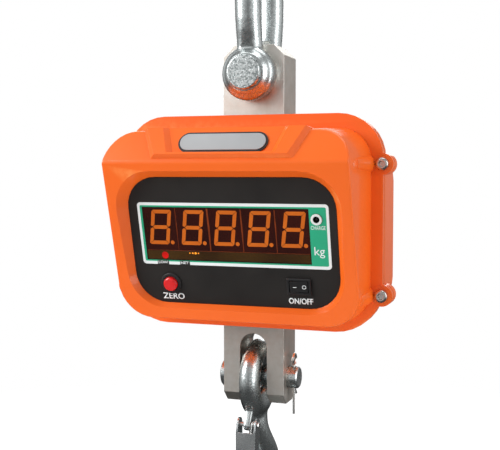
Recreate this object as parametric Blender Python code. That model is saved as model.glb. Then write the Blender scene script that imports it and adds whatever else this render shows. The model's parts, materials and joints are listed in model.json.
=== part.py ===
"""Hanging electronic crane scale: shackle, load cell, two-part case with its display, and a latched hook.

Lengths are in millimetres and become metres in finish(). X runs to the right, Y to the back, Z up.
The origin is the inner crown of the shackle, where the crane's hook carries the scale.
"""

import math

import bmesh
import bpy
from mathutils import Matrix, Vector

MM = 0.001
GAP = 0.3
ROUND_STEPS = 28
FINE_STEPS = 44
SMALL_STEPS = 12
WIRE_STEPS = 8
BAR_STEPS = 30

# Shackle
CROWN_TO_PIN = 100.0
BOW_BAR = 22.7
BOW_HALF = 32.7
EYE_OD = 47.0
EYE_THICK = 19.0
EYE_BOSS = 4.5
EYE_BOSS_RADIUS = 16.2
JAW_RELIEF = 34.0
FLAT_LEAN = 17.0
FLAT_OUT = 38.2
SHACKLE_PIN = 24.0
SHACKLE_HEAD = 30.0
SHACKLE_HEAD_THICK = 4.2
WASHER_OD = 38.0
WASHER_THICK = 3.5
PIN_TAIL = 10.5

# Load cell
CELL_WIDTH = 56.0
CELL_DEPTH = 36.3
CELL_ABOVE_PIN = 26.0
CELL_PIN_TO_PIN = 268.5
CELL_BELOW_PIN = 22.5
CELL_TOP_CHAMFER = 9.5
CELL_FOOT_CHAMFER = 9.0
SLOT_WIDTH = 25.0
SLOT_ABOVE_PIN = 40.5
GAUGE_BORE = 26.0
GAUGE_WEB = 6.0

# Hook and its pin
HOOK_PIN = 19.5
HOOK_HEAD = 24.5
HOOK_HEAD_THICK = 6.0
HOOK_PIN_TAIL = 9.4
HOOK_EYE_HOLE = 26.0
HOOK_RING_DEEP = 23.0
HOOK_RING_WIDE = 18.5
HOOK_FLATTEN = 0.86
RING_STEPS = 40
RING_SIDES = 20
HOOK_ASIDE = -1.5
LATCH_AT = (-27.5, -36.0)
LATCH_LEAN = 90.0
LATCH_WIDTH = 18.0
LATCH_SHEET = 1.6
LATCH_PIN = 4.0
LATCH_EAR = 6.0
LATCH_FRONT = 8.0
LATCH_WEB_START = 5.8
LATCH_LENGTH = 50.0
LATCH_LUG_HALF = 3.5
LATCH_LUG_RADIUS = 5.5
SPRING_WIRE = 0.8
SPRING_TURNS = 2
SHACKLE_SPLIT_WIRE = 1.9
HOOK_SPLIT_WIRE = 2.6

# Case
CASE_WIDTH = 235.0
CASE_HEIGHT = 184.7
CASE_TOP_BELOW_PIN = 35.4
CASE_TOP_RADIUS = 38.0
CASE_FOOT_RADIUS = 40.0
FLANGE_PROUD = 10.0
FLANGE_HEAD = 12.5
FLANGE_FOOT = 7.3
FLANGE_THICK = 5.7
PARTING = -23.5
SEAL_THICK = 1.0
WALL = 3.0
SPARE = 3.0
SIDE_DRAFT = 0.03
TOP_DRAFT = 0.05
FOOT_DRAFT = 0.045
BACK_DRAFT = 0.04
CASE_BACK = 60.0
BACK_FILLET = 9.0
BACK_STEP = 3.5
BACK_HEAD = 5.0
BACK_TOP_RADIUS = 46.0
LUG_RADIUS = 9.0
LUG_PROUD = 0.6
FAIRING = {"top": 48.0, "bottom": 30.0}
LUG_ABOVE_MIDDLE = 49.6
LUG_BELOW_MIDDLE = 60.0
COVER_SCREW = 6.0
COVER_SCREW_HEAD = 11.0
COVER_SCREW_HEAD_THICK = 4.5
COLLAR_WALL = 3.0
COLLAR_HEIGHT = 9.0

# Sloping face of the front cover
TILT = 14.1
BEZEL_TILT = 17.0
PANEL_MIDDLE = (-73.4, -244.0)
PANEL_WIDTH = 181.2
PANEL_LOW = -54.6
PANEL_HIGH = 56.6
PANEL_RADIUS = 27.0
PANEL_THICK = 2.0
RECESS_DEPTH = 11.4
LIP_SLOPE = 8.0
FLOOR_THICK = 3.0
BEZEL_ROUND = 6.0
BROW_HEIGHT = 67.2
FRONT_TOP_RADIUS = 27.0
FOREHEAD_LEAN = 29.8
HUMP_PROUD = 4.0
HUMP_LOW_HALF = 60.5
HUMP_HIGH_HALF = 72.0
HUMP_CHAMFER = 4.0
HUMP_LOW = 3.4
HUMP_TOP = 2.0
HUMP_RECESS_LOW = 42.0
HUMP_RECESS_HIGH = 52.0
HUMP_RECESS_START = 8.2
HUMP_RECESS_FLARE = 1.1
PLATE_LENGTH = 73.2
PLATE_HEIGHT = 15.0
PLATE_THICK = 1.5
PLATE_MIDDLE = 17.9

# On the panel, as (across, up)
WINDOW_LOW = (-77.9, -15.7)
WINDOW_HIGH = (67.4, 30.5)
WINDOW_THICK = 3.0
DIGIT_FIRST = -62.9
DIGIT_PITCH = 29.24
DIGIT_MIDDLE = 13.15
DIGIT_BODY = (28.0, 40.0, 9.0)
BOARD_THICK = 1.6
LAMP_AT = (-61.5, -11.4)
LAMP_RADIUS = 2.5
LAMP_BAR_AT = (-34.6, -10.2)
LAMP_BAR_SIZE = (13.0, 3.4)
ZERO_AT = (-58.2, -36.9)
ZERO_CAP = 12.4
ZERO_COLLAR = 18.6
ZERO_THREAD = 16.0
ZERO_PROUD = 5.0
ZERO_TRAVEL = 2.5
ROCKER_AT = (55.9, -35.3)
ROCKER_BEZEL = (20.7, 14.5)
ROCKER_BODY = (18.4, 12.2)
ROCKER_WELL = (16.4, 10.4)
ROCKER_TILT = 8.0
SOCKET_AT = (73.9, 22.2)
SOCKET_RING = 9.4
SOCKET_BARREL = 7.4
SOCKET_HOLE = 5.4

# Inside the case
BATTERY = (68.0, 46.0, 101.0)
STRAP_SHEET = 1.2
STRAP_WIDTH = 26.0
MAIN_BOARD = (66.0, 92.0)
MAIN_BOARD_IN = 17.0
BOARD_EDGE = 4.0
BOARD_BOSS = 3.6
BOARD_SCREW = 3.0
CELL_SCREW = 6.0
CELL_SCREW_HEAD = 10.0
CELL_SCREW_SPREAD = (17.0, 62.0)
CABLE = 5.0
RIBBON = 4.0

PIN_Z = -CROWN_TO_PIN
HOOK_Z = PIN_Z - CELL_PIN_TO_PIN
CELL_TOP = PIN_Z + CELL_ABOVE_PIN
CELL_FOOT = HOOK_Z - CELL_BELOW_PIN
CASE_TOP = PIN_Z - CASE_TOP_BELOW_PIN
CASE_FOOT = CASE_TOP - CASE_HEIGHT
CASE_MIDDLE = (CASE_TOP + CASE_FOOT) / 2
CELL_HALF = CELL_DEPTH / 2
JAW_HALF = CELL_HALF + GAP + 0.2
EYE_OUTER = JAW_HALF + EYE_THICK + EYE_BOSS
FLANGE_HALF = CASE_WIDTH / 2
BOARD_LEFT = MAIN_BOARD_IN - FLANGE_HALF
FLANGE_FRONT = PARTING - SEAL_THICK / 2 - GAP - FLANGE_THICK
FLANGE_BACK = PARTING + SEAL_THICK / 2 + GAP + FLANGE_THICK
LUG_X = FLANGE_HALF - 0.5
LUG_HEIGHTS = {"top": CASE_MIDDLE + LUG_ABOVE_MIDDLE, "bottom": CASE_MIDDLE - LUG_BELOW_MIDDLE}
SIDES = {"left": -1, "right": 1}
TILT_RAD = math.radians(TILT)
HOOK_FRAME = Matrix.Translation((HOOK_ASIDE, 0, 0))
PANEL_FRAME = Matrix.Translation((0, PANEL_MIDDLE[0], PANEL_MIDDLE[1])) @ Matrix.Rotation(TILT_RAD, 4, "X")
FLOOR_BACK = PANEL_THICK + GAP + FLOOR_THICK
BOARD_FRONT = WINDOW_THICK + GAP + DIGIT_BODY[2] + GAP


# Making and joining shapes

def clear_scene():
    for thing in list(bpy.data.objects):
        bpy.data.objects.remove(thing, do_unlink=True)


def material(name, colour, roughness, metallic=0.0, transmission=0.0):
    made = bpy.data.materials.new(name)
    made.use_nodes = True
    shader = made.node_tree.nodes["Principled BSDF"]
    shader.inputs["Base Color"].default_value = (*colour, 1.0)
    shader.inputs["Roughness"].default_value = roughness
    shader.inputs["Metallic"].default_value = metallic
    shader.inputs["Transmission Weight"].default_value = transmission
    return made


def finish(shape, name, finish_material=None, origin=(0, 0, 0), frame=None, smooth=35):
    """Turns a bmesh in millimetres into an object whose origin is at the given point."""
    if frame is not None:
        bmesh.ops.transform(shape, matrix=frame, verts=shape.verts)
        origin = frame @ Vector(origin)
    origin = Vector(origin)
    bmesh.ops.recalc_face_normals(shape, faces=shape.faces)
    bmesh.ops.translate(shape, vec=-origin, verts=shape.verts)
    bmesh.ops.scale(shape, vec=(MM, MM, MM), verts=shape.verts)
    mesh = bpy.data.meshes.new(name)
    shape.to_mesh(mesh)
    shape.free()
    thing = bpy.data.objects.new(name, mesh)
    thing.location = origin * MM
    bpy.context.scene.collection.objects.link(thing)
    if finish_material is not None:
        mesh.materials.append(finish_material)
    mesh.shade_smooth()
    mesh.set_sharp_from_angle(angle=math.radians(smooth))
    return thing


def combine(target, shape, operation, frame=None):
    """Adds a Boolean of the shape to the target, with the shape kept as a hidden helper."""
    helper = finish(shape, f"{target.name}_{operation.lower()}_{len(target.modifiers)}", frame=frame)
    helper.hide_render = True
    helper.display_type = "WIRE"
    helper.hide_set(True)
    step = target.modifiers.new(operation.title(), "BOOLEAN")
    step.operation = operation
    step.solver = "EXACT"
    step.object = helper


def cut(target, *shapes, frame=None):
    for shape in shapes:
        combine(target, shape, "DIFFERENCE", frame)


def add(target, *shapes, frame=None):
    for shape in shapes:
        combine(target, shape, "UNION", frame)


def loft(rings, close=False):
    """A closed solid through rings of points, with a flat face over each end, or joined end to start."""
    shape = bmesh.new()
    made = [[shape.verts.new(point) for point in ring] for ring in rings]
    pairs = list(zip(made, made[1:]))
    if close:
        pairs.append((made[-1], made[0]))
    for first, second in pairs:
        for i in range(len(first)):
            j = (i + 1) % len(first)
            shape.faces.new((first[i], first[j], second[j], second[i]))
    if not close:
        shape.faces.new(made[0])
        shape.faces.new(list(reversed(made[-1])))
    bmesh.ops.recalc_face_normals(shape, faces=shape.faces)
    return shape


def box(low, high):
    shape = bmesh.new()
    middle = [(a + b) / 2 for a, b in zip(low, high)]
    size = [b - a for a, b in zip(low, high)]
    place = Matrix.Translation(middle) @ Matrix.Diagonal((*size, 1))
    bmesh.ops.create_cube(shape, size=1, matrix=place)
    return shape


def rounded_outline(half_width, low, high, radius, steps=8, left=None, low_radius=None):
    """Points (x, z) round a rectangle with rounded corners, which may be larger at the bottom."""
    start = -half_width if left is None else left
    foot = radius if low_radius is None else low_radius
    corners = [
        (half_width - foot, low + foot, -90, foot),
        (half_width - radius, high - radius, 0, radius),
        (start + radius, high - radius, 90, radius),
        (start + foot, low + foot, 180, foot),
    ]
    points = []
    for x, z, first, radius in corners:
        for i in range(steps + 1):
            angle = math.radians(first + 90 * i / steps)
            points.append((x + radius * math.cos(angle), z + radius * math.sin(angle)))
    return points


def plate(outline, near, far):
    """The outline in X and Z, drawn out along Y."""
    return loft([[(x, y, z) for x, z in outline] for y in (near, far)])


def turned(profile, at, axis="Y", steps=ROUND_STEPS):
    """A solid of revolution: profile is (distance along the axis, radius) pairs from end to end."""
    rings = []
    for along, radius in profile:
        ring = []
        for i in range(steps):
            angle = 2 * math.pi * i / steps
            a, b = radius * math.cos(angle), radius * math.sin(angle)
            offset = {"X": (along, a, b), "Y": (a, along, b), "Z": (a, b, along)}[axis]
            ring.append(tuple(p + q for p, q in zip(at, offset)))
        rings.append(ring)
    return loft(rings)


def rod(diameter, near, far, at, axis="Y", steps=ROUND_STEPS, chamfer=0.0):
    radius = diameter / 2
    profile = [(near, radius), (far, radius)]
    if chamfer:
        profile = [
            (near, radius - chamfer), (near + chamfer, radius),
            (far - chamfer, radius), (far, radius - chamfer),
        ]
    return turned(profile, at, axis, steps)


def swept(points, sizes, steps, side=(1, 0, 0), flat=1.0):
    """A bar along the points, round or oval: sizes are its diameters, flat is its width along `side`."""
    rings = []
    across = Vector(side).normalized()
    for i, point in enumerate(points):
        before = Vector(points[max(i - 1, 0)])
        after = Vector(points[min(i + 1, len(points) - 1)])
        out = (after - before).normalized().cross(across).normalized()
        width = across * flat * sizes[i] / 2
        depth = out * sizes[i] / 2
        turns = [2 * math.pi * k / steps for k in range(steps)]
        rings.append([Vector(point) + width * math.cos(t) + depth * math.sin(t) for t in turns])
    return rings


def wire(points, diameter, steps=WIRE_STEPS):
    """A round wire along any path, with its section carried round the bends without twisting."""
    radius = diameter / 2
    points = [Vector(point) for point in points]
    across = None
    rings = []
    for i, point in enumerate(points):
        along = (points[min(i + 1, len(points) - 1)] - points[max(i - 1, 0)]).normalized()
        if across is None:
            across = along.orthogonal().normalized()
        across = (across - along * across.dot(along)).normalized()
        out = along.cross(across)
        turns = [2 * math.pi * k / steps for k in range(steps)]
        rings.append([point + across * radius * math.cos(t) + out * radius * math.sin(t) for t in turns])
    return loft(rings)


def screw_hole(size, near, far, x, z):
    """A cutter along Y for a screw of this size, with its clearance."""
    return rod(size + 2 * GAP, near, far, (x, 0, z), steps=SMALL_STEPS)


def arc(centre, radius, first, last, steps):
    """Points (a, b) along an arc given in degrees."""
    turns = [math.radians(first + (last - first) * i / steps) for i in range(steps + 1)]
    return [(centre[0] + radius * math.cos(t), centre[1] + radius * math.sin(t)) for t in turns]


def hull(points):
    shape = bmesh.new()
    corners = [shape.verts.new(point) for point in points]
    result = bmesh.ops.convex_hull(shape, input=corners)
    loose = {v for v in result["geom_interior"] + result["geom_unused"] if isinstance(v, bmesh.types.BMVert)}
    if loose:
        bmesh.ops.delete(shape, geom=list(loose), context="VERTS")
    bmesh.ops.recalc_face_normals(shape, faces=shape.faces)
    return shape


def trim(shape, point, outward):
    """Cuts the shape off flat where it passes the plane."""
    geometry = shape.verts[:] + shape.edges[:] + shape.faces[:]
    result = bmesh.ops.bisect_plane(
        shape, geom=geometry, plane_co=point, plane_no=outward, clear_outer=True, dist=1e-4
    )
    edges = [item for item in result["geom_cut"] if isinstance(item, bmesh.types.BMEdge)]
    edges = [edge for edge in edges if edge.is_valid and edge.is_boundary]
    bmesh.ops.holes_fill(shape, edges=edges, sides=0)
    bmesh.ops.recalc_face_normals(shape, faces=shape.faces)


def hexagon(width, at, near, far, axis="Y"):
    across = width / math.sqrt(3)
    turns = [math.radians(60 * i) for i in range(6)]
    points = [(across * math.cos(t), across * math.sin(t)) for t in turns]
    order = {"Y": lambda a, b, t: (a, t, b), "X": lambda a, b, t: (t, a, b)}[axis]
    rings = []
    for along in (near, far):
        rings.append([tuple(p + q for p, q in zip(at, order(a, b, along))) for a, b in points])
    return loft(rings)


def split_pin(name, at, reach, size, tail, spread, metal):
    """A split pin hung by its eye: `reach` is half the hole, `tail` its straight leg, `spread` the bend."""
    half = size / 2 + 0.08
    eye = 1.8 * size
    neck = reach + 0.75 * size
    path = [(-half, -reach - tail), (-half, -reach), (-half, neck)]
    path += arc((0, neck + eye), eye, 235, -55, 12)
    path += [(half, neck), (half, -reach)]
    path += [(half + spread * 0.45, -reach - 3.0), (half + spread, -reach - 5.5)]
    points = [Vector(at) + Vector((0, a, b)) for a, b in path]
    return finish(wire(points, size, 6), name, metal, at, smooth=60)


def split_pin_hole(size, reach, at):
    return rod(2 * size + 0.9, -reach - 2, reach + 2, at, "Z", SMALL_STEPS)


# Shackle

def shackle_bow(metal):
    """A forged bow: two legs drawn in towards the cell, each ending in a round eye with a boss outside."""
    centre = CROWN_TO_PIN - BOW_HALF + BOW_BAR / 2
    leg = [(26.2, 0), (26.3, 12), (26.7, 22), (27.8, 30), (29.9, 38), (31.6, 47), (32.5, 58), (BOW_HALF, 68)]
    path = leg + arc((0, centre), BOW_HALF, 0, 180, 18) + [(-y, z) for y, z in reversed(leg)]
    points = [(0, y, PIN_Z + z) for y, z in path]
    bow = finish(loft(swept(points, [BOW_BAR] * len(points), BAR_STEPS)), "shackle_bow", metal)
    radius = EYE_OD / 2
    for side in (-1, 1):
        rim = JAW_HALF + EYE_THICK
        profile = [
            (JAW_HALF, radius - 4), (JAW_HALF + 2.5, radius - 1.4), (JAW_HALF + 6, radius), (rim - 4, radius),
            (rim - 1, radius - 1.8), (rim + 0.3, radius - 4), (EYE_OUTER - 0.5, EYE_BOSS_RADIUS + 0.4),
            (EYE_OUTER, EYE_BOSS_RADIUS),
        ]
        add(bow, turned([(side * along, size) for along, size in profile], (0, 0, PIN_Z), steps=FINE_STEPS))
    cut(bow, rod(SHACKLE_PIN + 2 * GAP, -EYE_OUTER - 5, EYE_OUTER + 5, (0, 0, PIN_Z)))
    for side in (-1, 1):
        cut(bow, rod(2 * JAW_RELIEF, 0, side * (JAW_HALF - 0.05), (0, 0, PIN_Z), steps=FINE_STEPS))
        cut(bow, leg_flat(side))
    return bow


def leg_flat(side):
    """The cutter for the almond-shaped flat that is forged on each leg, just above its eye."""
    low, high = 20.0, 40.0
    lean = math.tan(math.radians(FLAT_LEAN))
    middle = 27.5
    outline = [(FLAT_OUT + (z - middle) * lean, z) for z in (low, high)]
    outline += [(2 * FLAT_OUT, high), (2 * FLAT_OUT, low)]
    return loft([[(x, side * y, PIN_Z + z) for y, z in outline] for x in (-20, 20)])


def shackle_fasteners(metal, bright):
    """The headed pin through both eyes, kept by a washer and a split pin behind."""
    front = -EYE_OUTER - GAP
    washer_front = EYE_OUTER + GAP
    washer_back = washer_front + WASHER_THICK
    end = washer_back + PIN_TAIL
    radius = SHACKLE_PIN / 2
    head = SHACKLE_HEAD / 2
    profile = [
        (front - SHACKLE_HEAD_THICK, head - 1.6), (front - SHACKLE_HEAD_THICK + 0.5, head - 0.5),
        (front - SHACKLE_HEAD_THICK + 1.6, head), (front, head), (front, radius),
        (end - 1.5, radius), (end, radius - 1.5),
    ]
    axis = (0, 0, PIN_Z)
    pin = finish(turned(profile, axis, steps=FINE_STEPS), "shackle_pin", metal, axis)
    hole = washer_back + 5.4
    cut(pin, split_pin_hole(SHACKLE_SPLIT_WIRE, radius, (0, hole, PIN_Z)))
    disc = rod(WASHER_OD, washer_front, washer_back, axis, steps=FINE_STEPS, chamfer=0.5)
    washer = finish(disc, "shackle_washer", metal, axis)
    cut(washer, rod(SHACKLE_PIN + 2 * GAP, washer_front - 2, washer_back + 2, axis))
    split_pin("shackle_split_pin", (0, hole, PIN_Z), radius, SHACKLE_SPLIT_WIRE, 9.0, 4.0, bright)


# Load cell

def load_cell(steel, cover_metal):
    half = CELL_WIDTH / 2
    chamfer = CELL_TOP_CHAMFER
    outline = [
        (-half, CELL_FOOT), (half, CELL_FOOT), (half, CELL_TOP - chamfer), (half - chamfer, CELL_TOP),
        (chamfer - half, CELL_TOP), (-half, CELL_TOP - chamfer),
    ]
    shape = plate(outline, -CELL_HALF, CELL_HALF)
    for side in (-1, 1):
        lean = Vector((0, side, -1)).normalized()
        trim(shape, (0, side * CELL_HALF, CELL_FOOT + CELL_FOOT_CHAMFER), lean)
    cell = finish(shape, "load_cell", steel, (0, 0, PIN_Z), smooth=20)
    cut(cell, rod(SHACKLE_PIN + 2 * GAP, -CELL_DEPTH, CELL_DEPTH, (0, 0, PIN_Z)))
    slot_top = HOOK_Z + SLOT_ABOVE_PIN
    slot_half = SLOT_WIDTH / 2
    slot = [(-slot_half, CELL_FOOT - 5), (slot_half, CELL_FOOT - 5)]
    slot += arc((0, slot_top - slot_half), slot_half, 0, 180, 16)
    cut(cell, plate(slot, -CELL_DEPTH, CELL_DEPTH))
    cut(cell, rod(HOOK_PIN + 2 * GAP, -CELL_WIDTH, CELL_WIDTH, (0, 0, HOOK_Z), "X"))
    for side, name in ((-1, "front"), (1, "rear")):
        face = side * CELL_HALF
        depth = CELL_HALF - GAUGE_WEB / 2
        cut(cell, rod(GAUGE_BORE, face - side * depth, face + side * 5, (0, 0, CASE_MIDDLE), steps=24))
        lid = rod(GAUGE_BORE - 2 * GAP, face - side * 2.0, face - side * 0.2, (0, 0, CASE_MIDDLE), steps=24)
        finish(lid, f"gauge_cover_{name}", cover_metal, (0, face, CASE_MIDDLE))
    for x, z in cell_screw_places():
        cut(cell, screw_hole(CELL_SCREW, CELL_HALF - 10.5, CELL_HALF + 5, x, z))


def cell_screw_places():
    across, up = CELL_SCREW_SPREAD
    return [(x, CASE_MIDDLE + z) for z in (up, -up) for x in (-across, across)]


def cell_screws(steel):
    seat = CELL_HALF + 9.0 + GAP
    names = ("top_left", "top_right", "bottom_left", "bottom_right")
    for name, (x, z) in zip(names, cell_screw_places()):
        profile = [(CELL_HALF - 9.5, CELL_SCREW / 2 - 0.6), (CELL_HALF - 8.9, CELL_SCREW / 2),
                   (seat, CELL_SCREW / 2), (seat, CELL_SCREW_HEAD / 2), (seat + 6, CELL_SCREW_HEAD / 2)]
        shape = turned(profile, (x, 0, z), steps=SMALL_STEPS)
        screw = finish(shape, f"cell_screw_{name}", steel, (x, seat, z))
        cut(screw, hexagon(5, (x, 0, z), seat + 3, seat + 8))


# Case covers

def case_outline(inset, head=None, foot=None, top_radius=None):
    """The outline of the case at its flange, or drawn in by `inset` at the sides, `head` and `foot`."""
    head = inset if head is None else head
    foot = inset if foot is None else foot
    radius = CASE_TOP_RADIUS - inset if top_radius is None else top_radius
    low, high = CASE_FOOT + foot, CASE_TOP - head
    return rounded_outline(FLANGE_HALF - inset, low, high, radius, low_radius=CASE_FOOT_RADIUS - inset)


def front_shell(inset):
    """The drafted body of the front cover, from behind the parting to past the bezel, drawn in by `inset`."""
    rings = []
    for y in (FLANGE_FRONT + FLANGE_THICK + SPARE + inset, -118.0):
        ahead = FLANGE_FRONT - y
        sides = FLANGE_PROUD + inset + SIDE_DRAFT * ahead
        head = FLANGE_HEAD + inset + TOP_DRAFT * ahead
        foot = FLANGE_FOOT + inset + FOOT_DRAFT * ahead
        outline = case_outline(sides, head, foot, FRONT_TOP_RADIUS - inset)
        rings.append([(x, y, z) for x, z in outline])
    return loft(rings)


def panel_point(across, inward, up):
    return PANEL_FRAME @ Vector((across, inward, up))


def brow():
    """The ridge over the bezel: a point on it, and the outward direction of the slope above it."""
    inward = -RECESS_DEPTH
    up = (BROW_HEIGHT + inward * -math.sin(TILT_RAD)) / math.cos(TILT_RAD)
    lean = math.radians(FOREHEAD_LEAN)
    return panel_point(0, inward, up), Vector((0, -math.cos(lean), math.sin(lean)))


def forehead_frame():
    """X across, Y into the case, Z up the slope, from the brow ridge."""
    point, _ = brow()
    return Matrix.Translation(point) @ Matrix.Rotation(-math.radians(FOREHEAD_LEAN), 4, "X")


def lug_fairing(side, z, front, back, narrow):
    """The bump that runs from a screw lug along the case wall and dies away at its far end."""
    thick_x = side * (LUG_X - LUG_RADIUS - 5.8)
    thin_x = side * (LUG_X - LUG_RADIUS - 6.5)
    turns = [math.radians(a) for a in range(0, 360, 30)]
    points = [(thick_x + LUG_RADIUS * math.cos(a), front, z + LUG_RADIUS * math.sin(a)) for a in turns]
    points += [(thin_x + narrow * math.cos(a), back, z + narrow * math.sin(a)) for a in turns]
    points += [(thin_x, back + math.copysign(4.0, back - front), z)]
    return hull(points)


def front_cover(paint):
    panel_out = Vector((0, -math.cos(TILT_RAD), -math.sin(TILT_RAD)))
    bezel_tilt = math.radians(BEZEL_TILT)
    bezel_out = Vector((0, -math.cos(bezel_tilt), -math.sin(bezel_tilt)))
    brow_point, brow_out = brow()
    shape = front_shell(0)
    trim(shape, brow_point, bezel_out)
    trim(shape, brow_point, brow_out)
    rim = [edge for edge in shape.edges if edge.calc_face_angle(0) > 0.3 and edge_is_forward(edge)]
    bmesh.ops.bevel(
        shape, geom=rim, offset=BEZEL_ROUND, segments=3, profile=0.5, affect="EDGES", clamp_overlap=True
    )
    cover = finish(shape, "front_cover", paint, (0, PARTING, CASE_MIDDLE))

    back = FLANGE_FRONT + FLANGE_THICK
    add(cover, plate(case_outline(0), FLANGE_FRONT, back + SPARE - 1))
    for side in SIDES.values():
        for height, z in LUG_HEIGHTS.items():
            at = (side * LUG_X, 0, z)
            add(cover, rod(2 * LUG_RADIUS, lug_face(), back + SPARE - 0.5, at))
            add(cover, lug_fairing(side, z, FLANGE_FRONT + 1.5, FLANGE_FRONT - FAIRING[height], 6.2))
            cut(cover, rod(COVER_SCREW_HEAD + 1.2, -95, lug_face(), at, steps=24))
            cut(cover, screw_hole(COVER_SCREW, FLANGE_FRONT - 4, back + 4, side * LUG_X, z))
    cut(cover, box((-2 * CASE_WIDTH, back, 2 * CASE_FOOT), (2 * CASE_WIDTH, back + 4 * SPARE, 0)))
    add(cover, hump())
    cut(cover, hump_recess(), frame=forehead_frame())

    cavity = front_shell(WALL)
    trim(cavity, panel_point(0, FLOOR_BACK, 0), panel_out)
    trim(cavity, brow_point - brow_out * WALL, brow_out)
    cut(cover, cavity)
    cut(cover, recess(), frame=PANEL_FRAME)
    cut(cover, *floor_openings(), frame=PANEL_FRAME)
    add(cover, *board_bosses(), frame=PANEL_FRAME)
    return cover


def lug_face():
    """The lugs stand a little proud of the flange, and the screw heads seat on them."""
    return FLANGE_FRONT - LUG_PROUD


def edge_is_forward(edge):
    return all(vertex.co.y < FLANGE_FRONT - 5 for vertex in edge.verts)


def hump():
    """The raised pad over the display, wider at its top, with chamfered sides."""
    frame = forehead_frame()
    front_top = CASE_TOP - FLANGE_HEAD - 3.0
    low, deep = HUMP_LOW, 5.0
    high = (front_top + HUMP_TOP - frame.translation.z) / math.cos(math.radians(FOREHEAD_LEAN)) - 1.5
    points = []
    for up, half in ((low, HUMP_LOW_HALF), (high, HUMP_HIGH_HALF)):
        for side in (-1, 1):
            points.append(frame @ Vector((side * half, deep, up)))
            points.append(frame @ Vector((side * half, 0, up)))
            rise = 2.0 if up == low else 0.0
            points.append(frame @ Vector((side * (half - HUMP_CHAMFER), -HUMP_PROUD, up + rise)))
    for side in (-1, 1):
        points.append((side * (HUMP_HIGH_HALF + 1), -58, front_top - 2))
        points.append((side * (HUMP_HIGH_HALF - 3), -74, front_top + HUMP_TOP - 0.4))
    return hull(points)


def hump_recess():
    """The hollow in the pad, flaring out from its floor, open at the top."""
    rings = []
    for inward in (-12.0, 0.0):
        grow = -inward * HUMP_RECESS_FLARE
        low, high = HUMP_RECESS_LOW + grow, HUMP_RECESS_HIGH + grow
        start = HUMP_RECESS_START - grow / 4
        rings.append([(-low, inward, start), (low, inward, start), (high, inward, 38), (-high, inward, 38)])
    return loft(rings)


def hood_plate(metal):
    low, high = PLATE_MIDDLE - PLATE_HEIGHT / 2, PLATE_MIDDLE + PLATE_HEIGHT / 2
    outline = rounded_outline(PLATE_LENGTH / 2, low, high, PLATE_HEIGHT / 2 - 0.01)
    shape = plate(outline, -GAP - PLATE_THICK, -GAP)
    finish(shape, "hood_plate", metal, (0, 0, PLATE_MIDDLE), forehead_frame())


def recess():
    """The sloping well in the bezel, down to a flat pocket that the panel lies in."""
    rings = []
    rise = RECESS_DEPTH + 3
    for inward, spread in ((-rise, LIP_SLOPE * rise / RECESS_DEPTH), (0, 0), (PANEL_THICK + GAP, 0)):
        grow = spread + GAP
        low, high = PANEL_LOW - grow, PANEL_HIGH + grow
        outline = rounded_outline(PANEL_WIDTH / 2 + grow, low, high, PANEL_RADIUS + grow)
        rings.append([(x, inward, z) for x, z in outline])
    return loft(rings)


def floor_openings():
    near, far = -2, FLOOR_BACK + 4
    low = (WINDOW_LOW[0] - 1.2, near, WINDOW_LOW[1] - 3)
    display = box(low, (WINDOW_HIGH[0] + 2.0, far, WINDOW_HIGH[1] + 3.6))
    zero = rod(ZERO_THREAD + 2 * GAP, near, far, (ZERO_AT[0], 0, ZERO_AT[1]))
    rocker = centred_box(ROCKER_AT, ROCKER_BODY, near, far, GAP)
    socket = rod(SOCKET_BARREL + 2 * GAP, near, far, (SOCKET_AT[0], 0, SOCKET_AT[1]), steps=24)
    return display, zero, rocker, socket


def centred_box(at, size, near, far, grow=0.0):
    half_x, half_z = size[0] / 2 + grow, size[1] / 2 + grow
    return box((at[0] - half_x, near, at[1] - half_z), (at[0] + half_x, far, at[1] + half_z))


def board_boss_places():
    return [(-40, 40), (32, 40), (-30, -23), (32, -23)]


def board_bosses():
    return [rod(2 * BOARD_BOSS, FLOOR_BACK - 1, BOARD_FRONT - GAP, (x, 0, z), steps=SMALL_STEPS)
            for x, z in board_boss_places()]


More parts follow.
